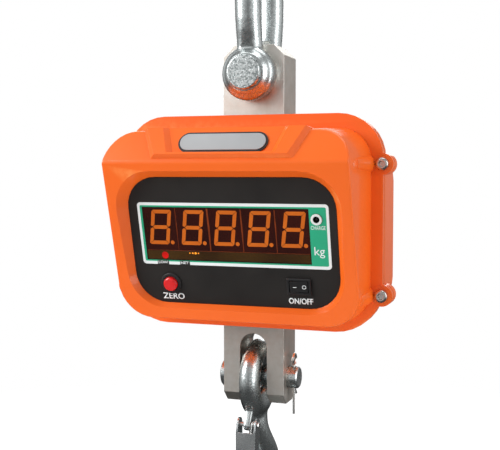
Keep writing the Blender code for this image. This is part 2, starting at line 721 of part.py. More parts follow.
def rear_cover(paint):
    front = FLANGE_BACK - FLANGE_THICK

    def shell(inset, start, end, rounding):
        rings = []
        stops = [(start, 0.0)]
        stops += [(end - rounding + rounding * math.sin(a), rounding - rounding * math.cos(a))
                  for a in (math.radians(d) for d in (0, 30, 60, 90))]
        for y, pull in stops:
            draw = BACK_STEP + inset + pull + BACK_DRAFT * max(y - FLANGE_BACK, 0)
            outline = case_outline(draw, draw + BACK_HEAD, draw, BACK_TOP_RADIUS - inset - pull)
            rings.append([(x, y, z) for x, z in outline])
        return loft(rings)

    outside = shell(0, front - SPARE, CASE_BACK, BACK_FILLET)
    cover = finish(outside, "rear_cover", paint, (0, PARTING, CASE_MIDDLE))
    add(cover, plate(case_outline(0), front - SPARE + 1, FLANGE_BACK))
    for side in SIDES.values():
        for z in LUG_HEIGHTS.values():
            at = (side * LUG_X, 0, z)
            add(cover, rod(2 * LUG_RADIUS, front - SPARE + 0.5, FLANGE_BACK + 4, at))
            add(cover, lug_fairing(side, z, FLANGE_BACK - 1.5, FLANGE_BACK + 24, 5.5))
    cut(cover, box((-2 * CASE_WIDTH, front - 4 * SPARE, 2 * CASE_FOOT), (2 * CASE_WIDTH, front, 0)))
    cut(cover, shell(WALL, front - 2 * SPARE, CASE_BACK - WALL, BACK_FILLET - WALL))
    for side in SIDES.values():
        for z in LUG_HEIGHTS.values():
            cut(cover, screw_hole(COVER_SCREW, front - 5, FLANGE_BACK + 2, side * LUG_X, z))
    half = CELL_WIDTH / 2 + COLLAR_WALL + 2 * GAP
    deep = CELL_HALF + COLLAR_WALL + 2 * GAP
    cut(cover, box((-half, front - 5, CASE_FOOT - 10), (half, deep, CASE_TOP + 10)))
    for x, z in cell_screw_places():
        add(cover, rod(17, CELL_HALF + GAP, CASE_BACK - WALL + 1, (x, 0, z), steps=24))
    for x, z in cell_screw_places():
        cut(cover, rod(CELL_SCREW_HEAD + 2, CELL_HALF + 9, CASE_BACK + 5, (x, 0, z), steps=24))
        cut(cover, screw_hole(CELL_SCREW, CELL_HALF - 5, CELL_HALF + 12, x, z))
    inside = CASE_BACK - WALL + 1
    bosses = [(x, z, main_board_y() + BOARD_THICK) for x, z in main_board_bosses()]
    bosses += [(x, z, strap_foot_y() + STRAP_SHEET) for x, z in strap_feet()]
    for x, z, seat in bosses:
        add(cover, rod(2 * BOARD_BOSS, seat + GAP, inside, (x, 0, z), steps=SMALL_STEPS))
    return cover


def case_seal(rubber):
    """The flat rubber frame between the covers, broken at neither passage of the load cell."""
    half = SEAL_THICK / 2
    sheet = plate(case_outline(0.8), PARTING - half, PARTING + half)
    seal = finish(sheet, "case_seal", rubber, (0, PARTING, CASE_MIDDLE))
    cut(seal, plate(case_outline(4.6), PARTING - 5, PARTING + 5))
    for side in SIDES.values():
        for z in LUG_HEIGHTS.values():
            cut(seal, screw_hole(COVER_SCREW, PARTING - 3, PARTING + 3, side * LUG_X, z))


def cell_collar(name, low, rubber):
    """The rubber collar that closes the gap round the load cell where it leaves the case."""
    half = CELL_WIDTH / 2 + GAP + COLLAR_WALL
    inner = CELL_WIDTH / 2 + GAP
    front = PARTING + SEAL_THICK / 2 + GAP
    deep = CELL_HALF + GAP + COLLAR_WALL
    collar = finish(box((-half, front, low), (half, deep, low + COLLAR_HEIGHT)), name, rubber, (0, 0, low))
    cut(collar, box((-inner, -CELL_HALF - GAP, low - 3), (inner, CELL_HALF + GAP, low + COLLAR_HEIGHT + 3)))


def cover_screws(steel):
    head_back = lug_face() - GAP
    front = head_back - COVER_SCREW_HEAD_THICK
    radius = COVER_SCREW_HEAD / 2
    for side_name, side in SIDES.items():
        for height, z in LUG_HEIGHTS.items():
            shank = COVER_SCREW / 2
            profile = [
                (front, radius - 1.6), (front + 0.6, radius - 0.6), (front + 1.8, radius),
                (head_back, radius), (head_back, shank),
                (FLANGE_BACK + 0.6, shank), (FLANGE_BACK + 1.2, shank - 0.6),
            ]
            name = f"cover_screw_{height}_{side_name}"
            shape = turned(profile, (side * LUG_X, 0, z), steps=24)
            screw = finish(shape, name, steel, (side * LUG_X, front, z))
            cut(screw, hexagon(4.6, (side * LUG_X, 0, z), front - 2, front + 2.6))


# Display panel

def front_panel(plastic):
    outline = rounded_outline(PANEL_WIDTH / 2, PANEL_LOW, PANEL_HIGH, PANEL_RADIUS)
    panel = finish(plate(outline, 0, PANEL_THICK), "front_panel", plastic, (0, 0, 0), PANEL_FRAME)
    low = (WINDOW_LOW[0] - GAP, -2, WINDOW_LOW[1] - GAP)
    window = box(low, (WINDOW_HIGH[0] + GAP, 5, WINDOW_HIGH[1] + GAP))
    zero = rod(ZERO_THREAD + 2 * GAP, -3, 5, (ZERO_AT[0], 0, ZERO_AT[1]))
    socket = rod(SOCKET_BARREL + 2 * GAP, -3, 5, (SOCKET_AT[0], 0, SOCKET_AT[1]), steps=24)
    cut(panel, window, zero, centred_box(ROCKER_AT, ROCKER_BODY, -3, 5, GAP), socket, frame=PANEL_FRAME)


def display(glass, plastic, board, red, amber):
    window = box((WINDOW_LOW[0], GAP, WINDOW_LOW[1]), (WINDOW_HIGH[0], WINDOW_THICK, WINDOW_HIGH[1]))
    finish(window, "display_window", glass, (0, 0, DIGIT_MIDDLE), PANEL_FRAME)
    front = WINDOW_THICK + GAP
    width, height, depth = DIGIT_BODY
    for i in range(5):
        across = DIGIT_FIRST + i * DIGIT_PITCH
        body = centred_box((across, DIGIT_MIDDLE), (width, height), front, front + depth)
        finish(body, f"digit_{i + 1}", plastic, (across, front, DIGIT_MIDDLE), PANEL_FRAME)
    place = (LAMP_AT[0], 0, LAMP_AT[1])
    profile = [
        (front + 1.0, 0.8), (front + 1.3, 1.8), (front + 2.4, LAMP_RADIUS), (BOARD_FRONT - GAP, LAMP_RADIUS),
    ]
    lamp = turned(profile, place, steps=SMALL_STEPS)
    finish(lamp, "status_lamp", red, place, PANEL_FRAME)
    finish(centred_box(LAMP_BAR_AT, LAMP_BAR_SIZE, front, front + depth), "unit_lamps", amber,
           (LAMP_BAR_AT[0], front, LAMP_BAR_AT[1]), PANEL_FRAME)
    outline = rounded_outline(68.4, -27.4, 44.5, 2, 2, left=-80)
    sheet = plate(outline, BOARD_FRONT, BOARD_FRONT + BOARD_THICK)
    pcb = finish(sheet, "display_board", board, (0, BOARD_FRONT, 0), PANEL_FRAME)
    for x, z in board_boss_places():
        cut(pcb, screw_hole(BOARD_SCREW, BOARD_FRONT - 2, BOARD_FRONT + 4, x, z), frame=PANEL_FRAME)


def small_screw(name, at, head_at, tip_at, steel, frame=None):
    """A pan-head screw along Y. Its head lies at head_at, and its tip at tip_at."""
    way = 1 if tip_at > head_at else -1
    shank = BOARD_SCREW / 2
    profile = [
        (head_at - way * 2.2, 1.6), (head_at - way * 1.4, 2.7), (head_at, 2.8),
        (head_at, shank), (tip_at, shank),
    ]
    shape = turned(profile, (at[0], 0, at[1]), steps=SMALL_STEPS)
    return finish(shape, name, steel, (at[0], head_at, at[1]), frame)


def display_board_screws(cover, steel):
    """Each screw goes through the board into its boss, whose hole is cut in the front cover."""
    seat = BOARD_FRONT + BOARD_THICK + GAP
    for i, place in enumerate(board_boss_places(), 1):
        small_screw(f"display_screw_{i}", place, seat, FLOOR_BACK + 1.0, steel, PANEL_FRAME)
        cut(cover, screw_hole(BOARD_SCREW, FLOOR_BACK, seat, *place), frame=PANEL_FRAME)


def zero_button(red, black, metal):
    at = (ZERO_AT[0], 0, ZERO_AT[1])
    thread = ZERO_THREAD / 2
    collar = ZERO_COLLAR / 2
    profile = [
        (-1.8, collar - 1.2), (-1.2, collar), (-GAP, collar),
        (-GAP, thread), (20, thread), (20.5, thread - 0.5),
    ]
    body = finish(turned(profile, at), "zero_button_body", black, at, PANEL_FRAME)
    cut(body, rod(ZERO_CAP + 2 * GAP + 0.2, -6, 13, at), frame=PANEL_FRAME)
    cap = ZERO_CAP / 2
    profile = [(-ZERO_PROUD, cap - 2.4), (-ZERO_PROUD + 0.5, cap - 1.0), (-ZERO_PROUD + 1.5, cap), (9.5, cap)]
    finish(turned(profile, at), "zero_button", red, at, PANEL_FRAME)
    nut_front = FLOOR_BACK + GAP
    nut = finish(hexagon(20, at, nut_front, nut_front + 3), "zero_button_nut", metal, at, PANEL_FRAME)
    cut(nut, rod(ZERO_THREAD + 2 * GAP, nut_front - 3, nut_front + 6, at), frame=PANEL_FRAME)


def power_switch(black):
    at = (ROCKER_AT[0], 0, ROCKER_AT[1])
    bezel = centred_box(ROCKER_AT, ROCKER_BEZEL, -2.0, -GAP)
    bmesh.ops.bevel(bezel, geom=[e for e in bezel.edges if all(v.co.y < -1 for v in e.verts)], offset=0.7,
                    segments=2, profile=0.5, affect="EDGES")
    housing = finish(bezel, "switch_housing", black, at, PANEL_FRAME)
    add(housing, centred_box(ROCKER_AT, ROCKER_BODY, -1.0, 14), frame=PANEL_FRAME)
    cut(housing, centred_box(ROCKER_AT, ROCKER_WELL, -5, 9), frame=PANEL_FRAME)
    half = ROCKER_WELL[0] / 2 - 0.5
    tall = ROCKER_WELL[1] / 2 - GAP
    low = arc((0, 1.0), 6.6, 25, 155, 8)
    outline = [(half, -1.2), *low, (-half, -1.2), (-half + 0.4, -2.6), (0, -1.6), (half - 0.4, -2.6)]
    turn = Matrix.Rotation(math.radians(ROCKER_TILT), 4, "Z")
    rings = []
    for z in (-tall, tall):
        rings.append([Vector(at) + turn @ Vector((x, y, 0)) + Vector((0, 0, z)) for x, y in outline])
    finish(loft(rings), "rocker", black, at, PANEL_FRAME)


def charge_socket(black, metal):
    at = (SOCKET_AT[0], 0, SOCKET_AT[1])
    barrel = SOCKET_BARREL / 2
    ring = SOCKET_RING / 2
    profile = [(-1.0, ring - 0.3), (-0.7, ring), (-GAP, ring), (-GAP, barrel), (15, barrel)]
    socket = finish(turned(profile, at, steps=24), "charge_socket", black, at, PANEL_FRAME)
    cut(socket, rod(SOCKET_HOLE, -3, 9, at, steps=24), frame=PANEL_FRAME)
    add(socket, turned([(-0.2, 0.5), (0.3, 0.9), (9.5, 0.9)], at, steps=12), frame=PANEL_FRAME)
    nut_front = FLOOR_BACK + GAP
    nut = finish(hexagon(9.6, at, nut_front, nut_front + 2.4), "charge_socket_nut", metal, at, PANEL_FRAME)
    cut(nut, rod(SOCKET_BARREL + 2 * GAP, nut_front - 3, nut_front + 6, at, steps=24), frame=PANEL_FRAME)


# Inside the case

def main_board_y():
    return 30.0


def main_board_bosses():
    half = MAIN_BOARD[1] / 2 - BOARD_EDGE
    across = (BOARD_LEFT + BOARD_EDGE, BOARD_LEFT + MAIN_BOARD[0] - BOARD_EDGE)
    return [(x, CASE_MIDDLE + up) for x in across for up in (-half, half)]


def main_board(cover, board, steel):
    left = BOARD_LEFT
    y = main_board_y()
    low, high = CASE_MIDDLE - MAIN_BOARD[1] / 2, CASE_MIDDLE + MAIN_BOARD[1] / 2
    outline = rounded_outline(left + MAIN_BOARD[0], low, high, 2, 2, left=left)
    pcb = finish(plate(outline, y, y + BOARD_THICK), "main_board", board, (left, y, CASE_MIDDLE))
    for i, place in enumerate(main_board_bosses(), 1):
        cut(pcb, screw_hole(BOARD_SCREW, y - 3, y + 4, *place))
        small_screw(f"main_board_screw_{i}", place, y - GAP, y + 10, steel)
        cut(cover, screw_hole(BOARD_SCREW, y - 3, y + 11, *place))


def battery_place():
    low_x = FLANGE_HALF - 16.0 - BATTERY[0]
    back = CASE_BACK - WALL - 2.5
    half = BATTERY[2] / 2
    return (low_x, back - BATTERY[1], CASE_MIDDLE - half), (low_x + BATTERY[0], back, CASE_MIDDLE + half)


def strap_feet():
    low, high = battery_place()
    x = (low[0] + high[0]) / 2
    return [(x, low[2] - 9), (x, high[2] + 9)]


def strap_foot_y():
    return CASE_BACK - WALL - 8


def battery(cover, plastic, metal, steel):
    low, high = battery_place()
    shape = box(low, high)
    bmesh.ops.bevel(shape, geom=shape.edges[:], offset=1.5, segments=1, affect="EDGES")
    pack = finish(shape, "battery", plastic, low)
    middle = (low[0] + high[0]) / 2
    for side in (-1, 1):
        tab = (middle + side * 18, low[1] + 12)
        add(pack, box((tab[0] - 2.4, tab[1] - 0.4, high[2] - 1), (tab[0] + 2.4, tab[1] + 0.4, high[2] + 6)))
    t, g = STRAP_SHEET, 0.5
    foot, front = strap_foot_y(), low[1] - g
    bottom, top = low[2] - g, high[2] + g
    outline = [
        (foot, bottom - 14), (foot, bottom - t), (front - t, bottom - t),
        (front - t, top + t), (foot, top + t),
        (foot, top + 14), (foot + t, top + 14), (foot + t, top), (front, top), (front, bottom),
        (foot + t, bottom), (foot + t, bottom - 14),
    ]
    half = STRAP_WIDTH / 2 - 2
    rings = [[(middle + x, y, z) for y, z in outline] for x in (-half, half)]
    strap = finish(loft(rings), "battery_strap", metal, (middle, front, CASE_MIDDLE), smooth=20)
    for i, place in enumerate(strap_feet(), 1):
        cut(strap, screw_hole(BOARD_SCREW, foot - 4, foot + 4, *place))
        small_screw(f"strap_screw_{i}", place, foot - GAP, foot + 7, steel)
        cut(cover, screw_hole(BOARD_SCREW, foot - 4, foot + 8, *place))


def cables(grey, black):
    """The gauge lead runs from the load cell's side to the main board. A second one joins the two boards."""
    board_face = main_board_y() - 1.0
    gauge = [(-CELL_WIDTH / 2 - 1, 0, CASE_MIDDLE + 34), (-36, -1, CASE_MIDDLE + 34),
             (-42, 2, CASE_MIDDLE + 31),
             (-47, 10, CASE_MIDDLE + 24), (-50, 20, CASE_MIDDLE + 18), (-51, board_face, CASE_MIDDLE + 16)]
    link_start = panel_point(-60, BOARD_FRONT + BOARD_THICK + GAP, 4)
    link = [link_start, link_start + Vector((0, 6, 1)), (-64, -36, CASE_MIDDLE - 4),
            (-70, -14, CASE_MIDDLE - 8),
            (-74, 8, CASE_MIDDLE - 10), (-75, 20, CASE_MIDDLE - 10), (-75, board_face, CASE_MIDDLE - 10)]
    for name, points, size, finish_material in (
        ("gauge_lead", gauge, CABLE, grey), ("display_lead", link, RIBBON, black),
    ):
        finish(wire(smooth_path(points, 4), size), name, finish_material, points[0], smooth=60)


def smooth_path(points, parts):
    """Catmull-Rom points between the given ones."""
    points = [Vector(p) for p in points]
    ends = [points[0] * 2 - points[1], *points, points[-1] * 2 - points[-2]]
    path = []
    for a, b, c, d in zip(ends, ends[1:], ends[2:], ends[3:]):
        for i in range(parts):
            t = i / parts
            bend = (2 * a - 5 * b + 4 * c - d) * t**2
            twist = (3 * b - a - 3 * c + d) * t**3
            path.append(0.5 * (2 * b + (c - a) * t + bend + twist))
    path.append(points[-1])
    return path


# Hook

def hook_pin(metal, bright):
    half = CELL_WIDTH / 2
    radius, head = HOOK_PIN / 2, HOOK_HEAD / 2
    left = -half - GAP
    end = half + HOOK_PIN_TAIL
    profile = [
        (left - HOOK_HEAD_THICK, head - 1.2), (left - HOOK_HEAD_THICK + 1.2, head),
        (left, head), (left, radius),
        (end - 1.2, radius), (end, radius - 1.2),
    ]
    pin = finish(turned(profile, (0, 0, HOOK_Z), "X"), "hook_pin", metal, (0, 0, HOOK_Z))
    hole = half + 4.7
    cut(pin, split_pin_hole(HOOK_SPLIT_WIRE, radius, (hole, 0, HOOK_Z)))
    split_pin("hook_split_pin", (hole, 0, HOOK_Z), radius, HOOK_SPLIT_WIRE, 23.0, 4.0, bright)


def hook_eye_centre():
    return HOOK_Z - (HOOK_EYE_HOLE - HOOK_PIN) / 2 + GAP


def hook_path():
    """Points along the shank, the bowl and the tip, with the thickness at each."""
    rows = [
        (0, 26, 20), (0, 33, 19.5), (0.5, 41, 20), (3.5, 50, 22), (10.5, 61, 25), (20, 73, 27.5),
        (26.5, 87, 29), (27, 101, 30), (21, 115, 31), (9, 126, 32), (-6, 129, 31.5), (-22, 124.5, 29),
        (-34, 113.5, 24.5), (-40.5, 100, 18.5), (-44, 89, 12.5), (-45.4, 82, 7.5), (-45.7, 79.6, 3.5),
    ]
    rows = smooth_path(rows, 2)
    centre = hook_eye_centre()
    return [(0, row[0], centre - row[1]) for row in rows], [row[2] for row in rows]


def latch_axis():
    return (0, LATCH_AT[0], hook_eye_centre() + LATCH_AT[1])


def latch_lug():
    """The rib that stands out of the shank, up to the eye, and carries the latch's pin."""
    _, y, z = latch_axis()
    outline = arc((y, z), LATCH_LUG_RADIUS, 180, 270, 6)
    outline += [(1.0, z - 13.0), (1.0, z + 9.0), (y + 7.0, z + 17.0), (y + 3.0, z + 17.0)]
    return loft([[(x, a, b) for a, b in outline] for x in (-LATCH_LUG_HALF, LATCH_LUG_HALF)])


def hook(metal):
    centre = hook_eye_centre()
    deep, wide = HOOK_RING_DEEP / 2, HOOK_RING_WIDE / 2
    middle = HOOK_EYE_HOLE / 2 + deep
    ring = []
    for i in range(RING_STEPS):
        angle = 2 * math.pi * i / RING_STEPS
        section = []
        for k in range(RING_SIDES):
            turn = 2 * math.pi * k / RING_SIDES
            reach = middle + deep * math.cos(turn)
            section.append((wide * math.sin(turn), reach * math.cos(angle), centre + reach * math.sin(angle)))
        ring.append(section)
    body = finish(loft(ring, close=True), "hook", metal, (0, 0, HOOK_Z), HOOK_FRAME)
    points, sizes = hook_path()
    add(body, loft(swept(points, sizes, BAR_STEPS - 4, flat=HOOK_FLATTEN)), latch_lug(), frame=HOOK_FRAME)
    cut(body, rod(LATCH_PIN + 2 * GAP, -20, 20, latch_axis(), "X", SMALL_STEPS), frame=HOOK_FRAME)


def latch_point(x, down, forward):
    """A point of the latch: sideways from its middle, down from its pin, and out to the mouth's open side."""
    _, y, z = latch_axis()
    lean = math.radians(LATCH_LEAN)
    along = Vector((0, math.cos(lean), -math.sin(lean)))
    out = Vector((0, -math.sin(lean), -math.cos(lean)))
    return Vector((x, y, z)) + along * down + out * forward


def latch(metal, bright):
    """The safety catch across the mouth: two ears on the pin, joined by a web that ends inside the tip."""
    pivot = latch_axis()
    outer = LATCH_WIDTH / 2
    inner = outer - LATCH_SHEET
    front, back = LATCH_FRONT, LATCH_FRONT - LATCH_SHEET
    outline = arc((0, 0), LATCH_EAR, 90, 270, 8)
    outline += [
        (10, -LATCH_EAR), (26, 1.5), (LATCH_LENGTH, back - 0.6),
        (LATCH_LENGTH, front), (LATCH_WEB_START - 0.5, front),
    ]
    rings = [[latch_point(x, down, forward) for down, forward in outline] for x in (-outer, outer)]
    piece = finish(loft(rings), "hook_latch", metal, pivot, HOOK_FRAME, smooth=25)
    clear = LATCH_FRONT + 2
    end = LATCH_LENGTH + 4
    hollow = [
        (-clear, -clear), (end, -clear), (end, back),
        (LATCH_WEB_START, back), (LATCH_WEB_START, clear), (-clear, clear),
    ]
    rings = [[latch_point(x, down, forward) for down, forward in hollow] for x in (-inner, inner)]
    cut(piece, loft(rings), rod(LATCH_PIN + 2 * GAP, -20, 20, pivot, "X", SMALL_STEPS), frame=HOOK_FRAME)

    head = outer + GAP
    radius = LATCH_PIN / 2
    rivet = radius + 1.2
    profile = [
        (-head - 1.2, radius + 0.4), (-head - 0.6, rivet), (-head, rivet), (-head, radius),
        (head, radius), (head, rivet), (head + 0.6, rivet), (head + 1.2, radius + 0.4),
    ]
    finish(turned(profile, pivot, "X", SMALL_STEPS), "latch_pin", bright, pivot, HOOK_FRAME)


def latch_spring(metal):
    """A coil round the pin beside the lug, with one leg down the web and a short one towards the shank."""
    radius = LATCH_PIN / 2 + 2 * GAP + SPRING_WIRE / 2
    start = LATCH_LUG_HALF + GAP + SPRING_WIRE / 2
    pitch = SPRING_WIRE + 0.12
    steps = 12
    web = LATCH_FRONT - LATCH_SHEET - GAP - SPRING_WIRE / 2
    points = [latch_point(start, 18.0, web), latch_point(start, 8.0, web)]
    points.append(latch_point(start, 4.0, (web + radius) / 2))
    for i in range(SPRING_TURNS * steps + steps // 4 + 1):
        angle = math.pi + 2 * math.pi * i / steps
        along = start + pitch * i / steps
        points.append(latch_point(along, radius * math.sin(angle), -radius * math.cos(angle)))
    last = start + pitch * (SPRING_TURNS + 0.25)
    points += [latch_point(last, -radius, -4.0), latch_point(last, -radius, -8.0)]
    finish(wire(points, SPRING_WIRE, 6), "latch_spring", metal, latch_axis(), HOOK_FRAME, smooth=60)


def build():
    clear_scene()
    zinc = material("zinc_plated_steel", (0.62, 0.65, 0.66), 0.32, 1.0)
    bright = material("bright_steel", (0.75, 0.74, 0.72), 0.25, 1.0)
    nickel = material("satin_nickel", (0.56, 0.53, 0.48), 0.38, 1.0)
    stainless = material("stainless", (0.66, 0.64, 0.61), 0.25, 1.0)
    orange = material("orange_paint", (0.90, 0.17, 0.03), 0.32)
    black = material("black_plastic", (0.02, 0.02, 0.022), 0.45)
    panel = material("panel_black", (0.015, 0.014, 0.016), 0.35)
    rubber = material("black_rubber", (0.02, 0.02, 0.02), 0.8)
    red = material("red_plastic", (0.75, 0.02, 0.02), 0.3)
    amber = material("amber_lamp", (0.85, 0.45, 0.05), 0.4)
    window = material("dark_red_window", (0.06, 0.005, 0.004), 0.1)
    grey = material("grey_label", (0.42, 0.43, 0.43), 0.45)
    board = material("green_board", (0.02, 0.16, 0.07), 0.5)
    brass = material("brass", (0.70, 0.52, 0.22), 0.35, 1.0)

    shackle_bow(zinc)
    shackle_fasteners(zinc, bright)
    load_cell(nickel, stainless)
    cell_screws(stainless)
    front = front_cover(orange)
    rear = rear_cover(orange)
    case_seal(rubber)
    cell_collar("top_collar", CASE_TOP - COLLAR_HEIGHT - 7.5, rubber)
    cell_collar("bottom_collar", CASE_FOOT + 4.5, rubber)
    cover_screws(stainless)
    hood_plate(grey)
    front_panel(panel)
    display(window, black, board, red, amber)
    display_board_screws(front, stainless)
    zero_button(red, black, brass)
    power_switch(black)
    charge_socket(black, brass)
    main_board(rear, board, stainless)
    battery(rear, grey, stainless, stainless)
    cables(grey, black)
    hook_pin(zinc, bright)
    hook(zinc)
    latch(zinc, bright)
    latch_spring(bright)


build()
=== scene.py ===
"""Finish for a hanging electronic crane scale: forged zinc, satin nickel, orange enamel and a printed panel.

Prints and edges are sized in millimetres, which MM turns into metres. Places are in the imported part's frame.
"""

import json
import math

import bpy
from mathutils import Matrix, Vector

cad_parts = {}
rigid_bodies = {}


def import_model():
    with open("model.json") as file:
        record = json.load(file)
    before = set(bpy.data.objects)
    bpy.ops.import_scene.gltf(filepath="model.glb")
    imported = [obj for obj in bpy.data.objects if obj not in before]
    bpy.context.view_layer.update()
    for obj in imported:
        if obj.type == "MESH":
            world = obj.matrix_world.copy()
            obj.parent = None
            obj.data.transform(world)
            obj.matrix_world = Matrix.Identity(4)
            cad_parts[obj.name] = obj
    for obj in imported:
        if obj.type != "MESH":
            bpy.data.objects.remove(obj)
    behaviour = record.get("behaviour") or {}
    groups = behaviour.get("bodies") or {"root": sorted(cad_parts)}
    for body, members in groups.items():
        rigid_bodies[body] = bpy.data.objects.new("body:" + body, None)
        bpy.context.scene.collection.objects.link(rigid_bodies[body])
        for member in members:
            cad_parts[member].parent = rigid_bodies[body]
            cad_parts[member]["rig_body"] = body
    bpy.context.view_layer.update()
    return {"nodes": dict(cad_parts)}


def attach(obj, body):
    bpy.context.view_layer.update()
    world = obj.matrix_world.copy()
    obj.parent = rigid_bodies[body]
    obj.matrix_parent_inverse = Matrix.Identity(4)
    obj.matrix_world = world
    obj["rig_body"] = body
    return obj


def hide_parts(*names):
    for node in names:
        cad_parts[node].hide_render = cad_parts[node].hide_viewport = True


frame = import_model()
nodes = frame["nodes"]

MM = 0.001
HANGING = "scale_body"

# The display panel leans by this much. In PRINT, X is across the panel, Y is up it and Z is out of it.
PANEL_LEAN = math.radians(14.1)
PANEL_CENTRE = (0.0, -73.4 * MM, -244.0 * MM)
PANEL = Matrix.Translation(PANEL_CENTRE) @ Matrix.Rotation(PANEL_LEAN, 4, "X")
PRINT = PANEL @ Matrix.Rotation(math.pi / 2, 4, "X")

# The hood over the display leans the other way.
HOOD_LEAN = math.radians(-29.8)
HOOD_CENTRE = (0.0, -102.0 * MM, -176.8 * MM)
HOOD = Matrix.Translation(HOOD_CENTRE) @ Matrix.Rotation(HOOD_LEAN, 4, "X")
HOOD_PRINT = HOOD @ Matrix.Rotation(math.pi / 2, 4, "X")

# Millimetres: how thick a print is, and how far the window's face lies behind the panel's.
INK = 0.08
WINDOW_FACE = -0.3

# The printed frame round the window, as (left, low, right, high, corner radius) on the panel, in millimetres.
FRAME_OUTER = (-82.4, -19.9, 84.3, 34.8, 3.0)
FRAME_INNER = (-80.2, -17.3, 82.1, 32.3, 1.4)
WINDOW_OPENING = (-78.3, -16.1, 67.8, 30.9, 0.3)

# The five figures, in millimetres.
FIGURE_FIRST = -62.9
FIGURE_PITCH = 29.244
FIGURE_MIDDLE = 13.15
FIGURE_HALF_HEIGHT = 15.25
FIGURE_HALF_WIDTH = 9.0
FIGURE_BAR = 3.2
FIGURE_GAP = 0.55
FIGURE_LEAN = math.radians(9.1)

# The charging socket, the rocker and the zero lamp on the panel, as (across, up) in millimetres.
SOCKET_AT = (73.9, 22.2)
SOCKET_HOLE = 4.85
SOCKET_WELL = 2.75
ROCKER_AT = (55.9, -35.3)
ROCKER_TILT = math.radians(8.0)
ZERO_LAMP_AT = (-61.3, -11.8)
UNIT_LAMPS_AT = (-38.4, -9.4)
UNIT_LAMP_PITCH = 2.6

# The strip under the figures, and the tabs that hang from the printed frame, in millimetres.
STRIP_LOW, STRIP_HIGH = -15.4, -7.7
TAB_LOW, TAB_HIGH = FRAME_OUTER[1], -16.4

# The long round-ended plate on the hood, in millimetres.
PLATE_HALF = 36.6
PLATE_LOW = 10.4
PLATE_HIGH = 25.4
RIM_THICK = 1.1

# Metres: the shackle pin's height, on which the lathe rings of its head are centred.
SHACKLE_PIN_UP = -0.1
LATHE_RINGS = 130.0

# Light: the way towards the camera, and how bright the air is on matt surfaces.
CAMERA_SIDE = (0.32, -0.945, 0.05)
AIR_LIGHT = 0.48
FLOOR_UP = -0.62


# ---------------------------------------------------------------- shared shader groups

def new_group(name, inputs, outputs):
    """A shader group with named sockets: each is (name, kind, value)."""
    group = bpy.data.node_groups.new(name, "ShaderNodeTree")
    for label, kind, value in inputs:
        socket = group.interface.new_socket(label, in_out="INPUT", socket_type="NodeSocket" + kind)
        if value is not None:
            socket.default_value = value
    for label, kind in outputs:
        group.interface.new_socket(label, in_out="OUTPUT", socket_type="NodeSocket" + kind)
    return group, group.nodes.new("NodeGroupInput"), group.nodes.new("NodeGroupOutput")


def add_node(tree, kind, **settings):
    node = tree.nodes.new("ShaderNode" + kind)
    for key, value in settings.items():
        setattr(node, key, value)
    return node


def remap(tree, source, low, high, new_low, new_high):
    """Stretches a value from one range to another and holds it there."""
    node = add_node(tree, "MapRange", clamp=True)
    tree.links.new(source, node.inputs["Value"])
    node.inputs["From Min"].default_value = low
    node.inputs["From Max"].default_value = high
    node.inputs["To Min"].default_value = new_low
    node.inputs["To Max"].default_value = new_high
    return node.outputs["Result"]


def maths(tree, operation, first, second):
    node = add_node(tree, "Math", operation=operation)
    for socket, value in zip(node.inputs, (first, second)):
        if isinstance(value, (int, float)):
            socket.default_value = value
        else:
            tree.links.new(value, socket)
    return node.outputs[0]


def noise(tree, vector, scale, detail=3.0, roughness=0.55):
    node = add_node(tree, "TexNoise")
    tree.links.new(vector, node.inputs["Vector"])
    if isinstance(scale, (int, float)):
        node.inputs["Scale"].default_value = scale
    else:
        tree.links.new(scale, node.inputs["Scale"])
    node.inputs["Detail"].default_value = detail
    node.inputs["Roughness"].default_value = roughness
    return node.outputs["Fac"]


def grain_group():
    """Soft grain at two sizes, for moulded and painted surfaces."""
    group, enter, leave = new_group(
        "soft_grain",
        [("Vector", "Vector", None), ("Scale", "Float", 500.0), ("Drift Scale", "Float", 12.0)],
        [("Grain", "Float"), ("Drift", "Float")],
    )
    fine = noise(group, enter.outputs["Vector"], enter.outputs["Scale"], 2.0)
    broad = noise(group, enter.outputs["Vector"], enter.outputs["Drift Scale"], 2.0)
    group.links.new(remap(group, fine, 0.3, 0.7, 0.0, 1.0), leave.inputs["Grain"])
    group.links.new(remap(group, broad, 0.3, 0.7, 0.0, 1.0), leave.inputs["Drift"])
    return group


def speckle_group():
    """The crystals of a hot zinc coat over a shot-blasted forging."""
    group, enter, leave = new_group(
        "zinc_speckle",
        [("Vector", "Vector", None), ("Scale", "Float", 900.0), ("Cloud Scale", "Float", 40.0)],
        [("Speckle", "Float"), ("Cloud", "Float"), ("Height", "Float")],
    )
    cells = add_node(group, "TexVoronoi", feature="F1")
    group.links.new(enter.outputs["Vector"], cells.inputs["Vector"])
    group.links.new(enter.outputs["Scale"], cells.inputs["Scale"])
    split = add_node(group, "SeparateColor")
    group.links.new(cells.outputs["Color"], split.inputs["Color"])
    pits = noise(group, enter.outputs["Vector"], enter.outputs["Scale"], 4.0, 0.65)
    facets = maths(group, "MULTIPLY", split.outputs[0], 0.5)
    both = maths(group, "ADD", facets, maths(group, "MULTIPLY", pits, 0.7))
    cloud = noise(group, enter.outputs["Vector"], enter.outputs["Cloud Scale"], 3.0)
    group.links.new(remap(group, both, 0.3, 0.85, 0.0, 1.0), leave.inputs["Speckle"])
    group.links.new(remap(group, cloud, 0.3, 0.7, 0.0, 1.0), leave.inputs["Cloud"])
    group.links.new(both, leave.inputs["Height"])
    return group


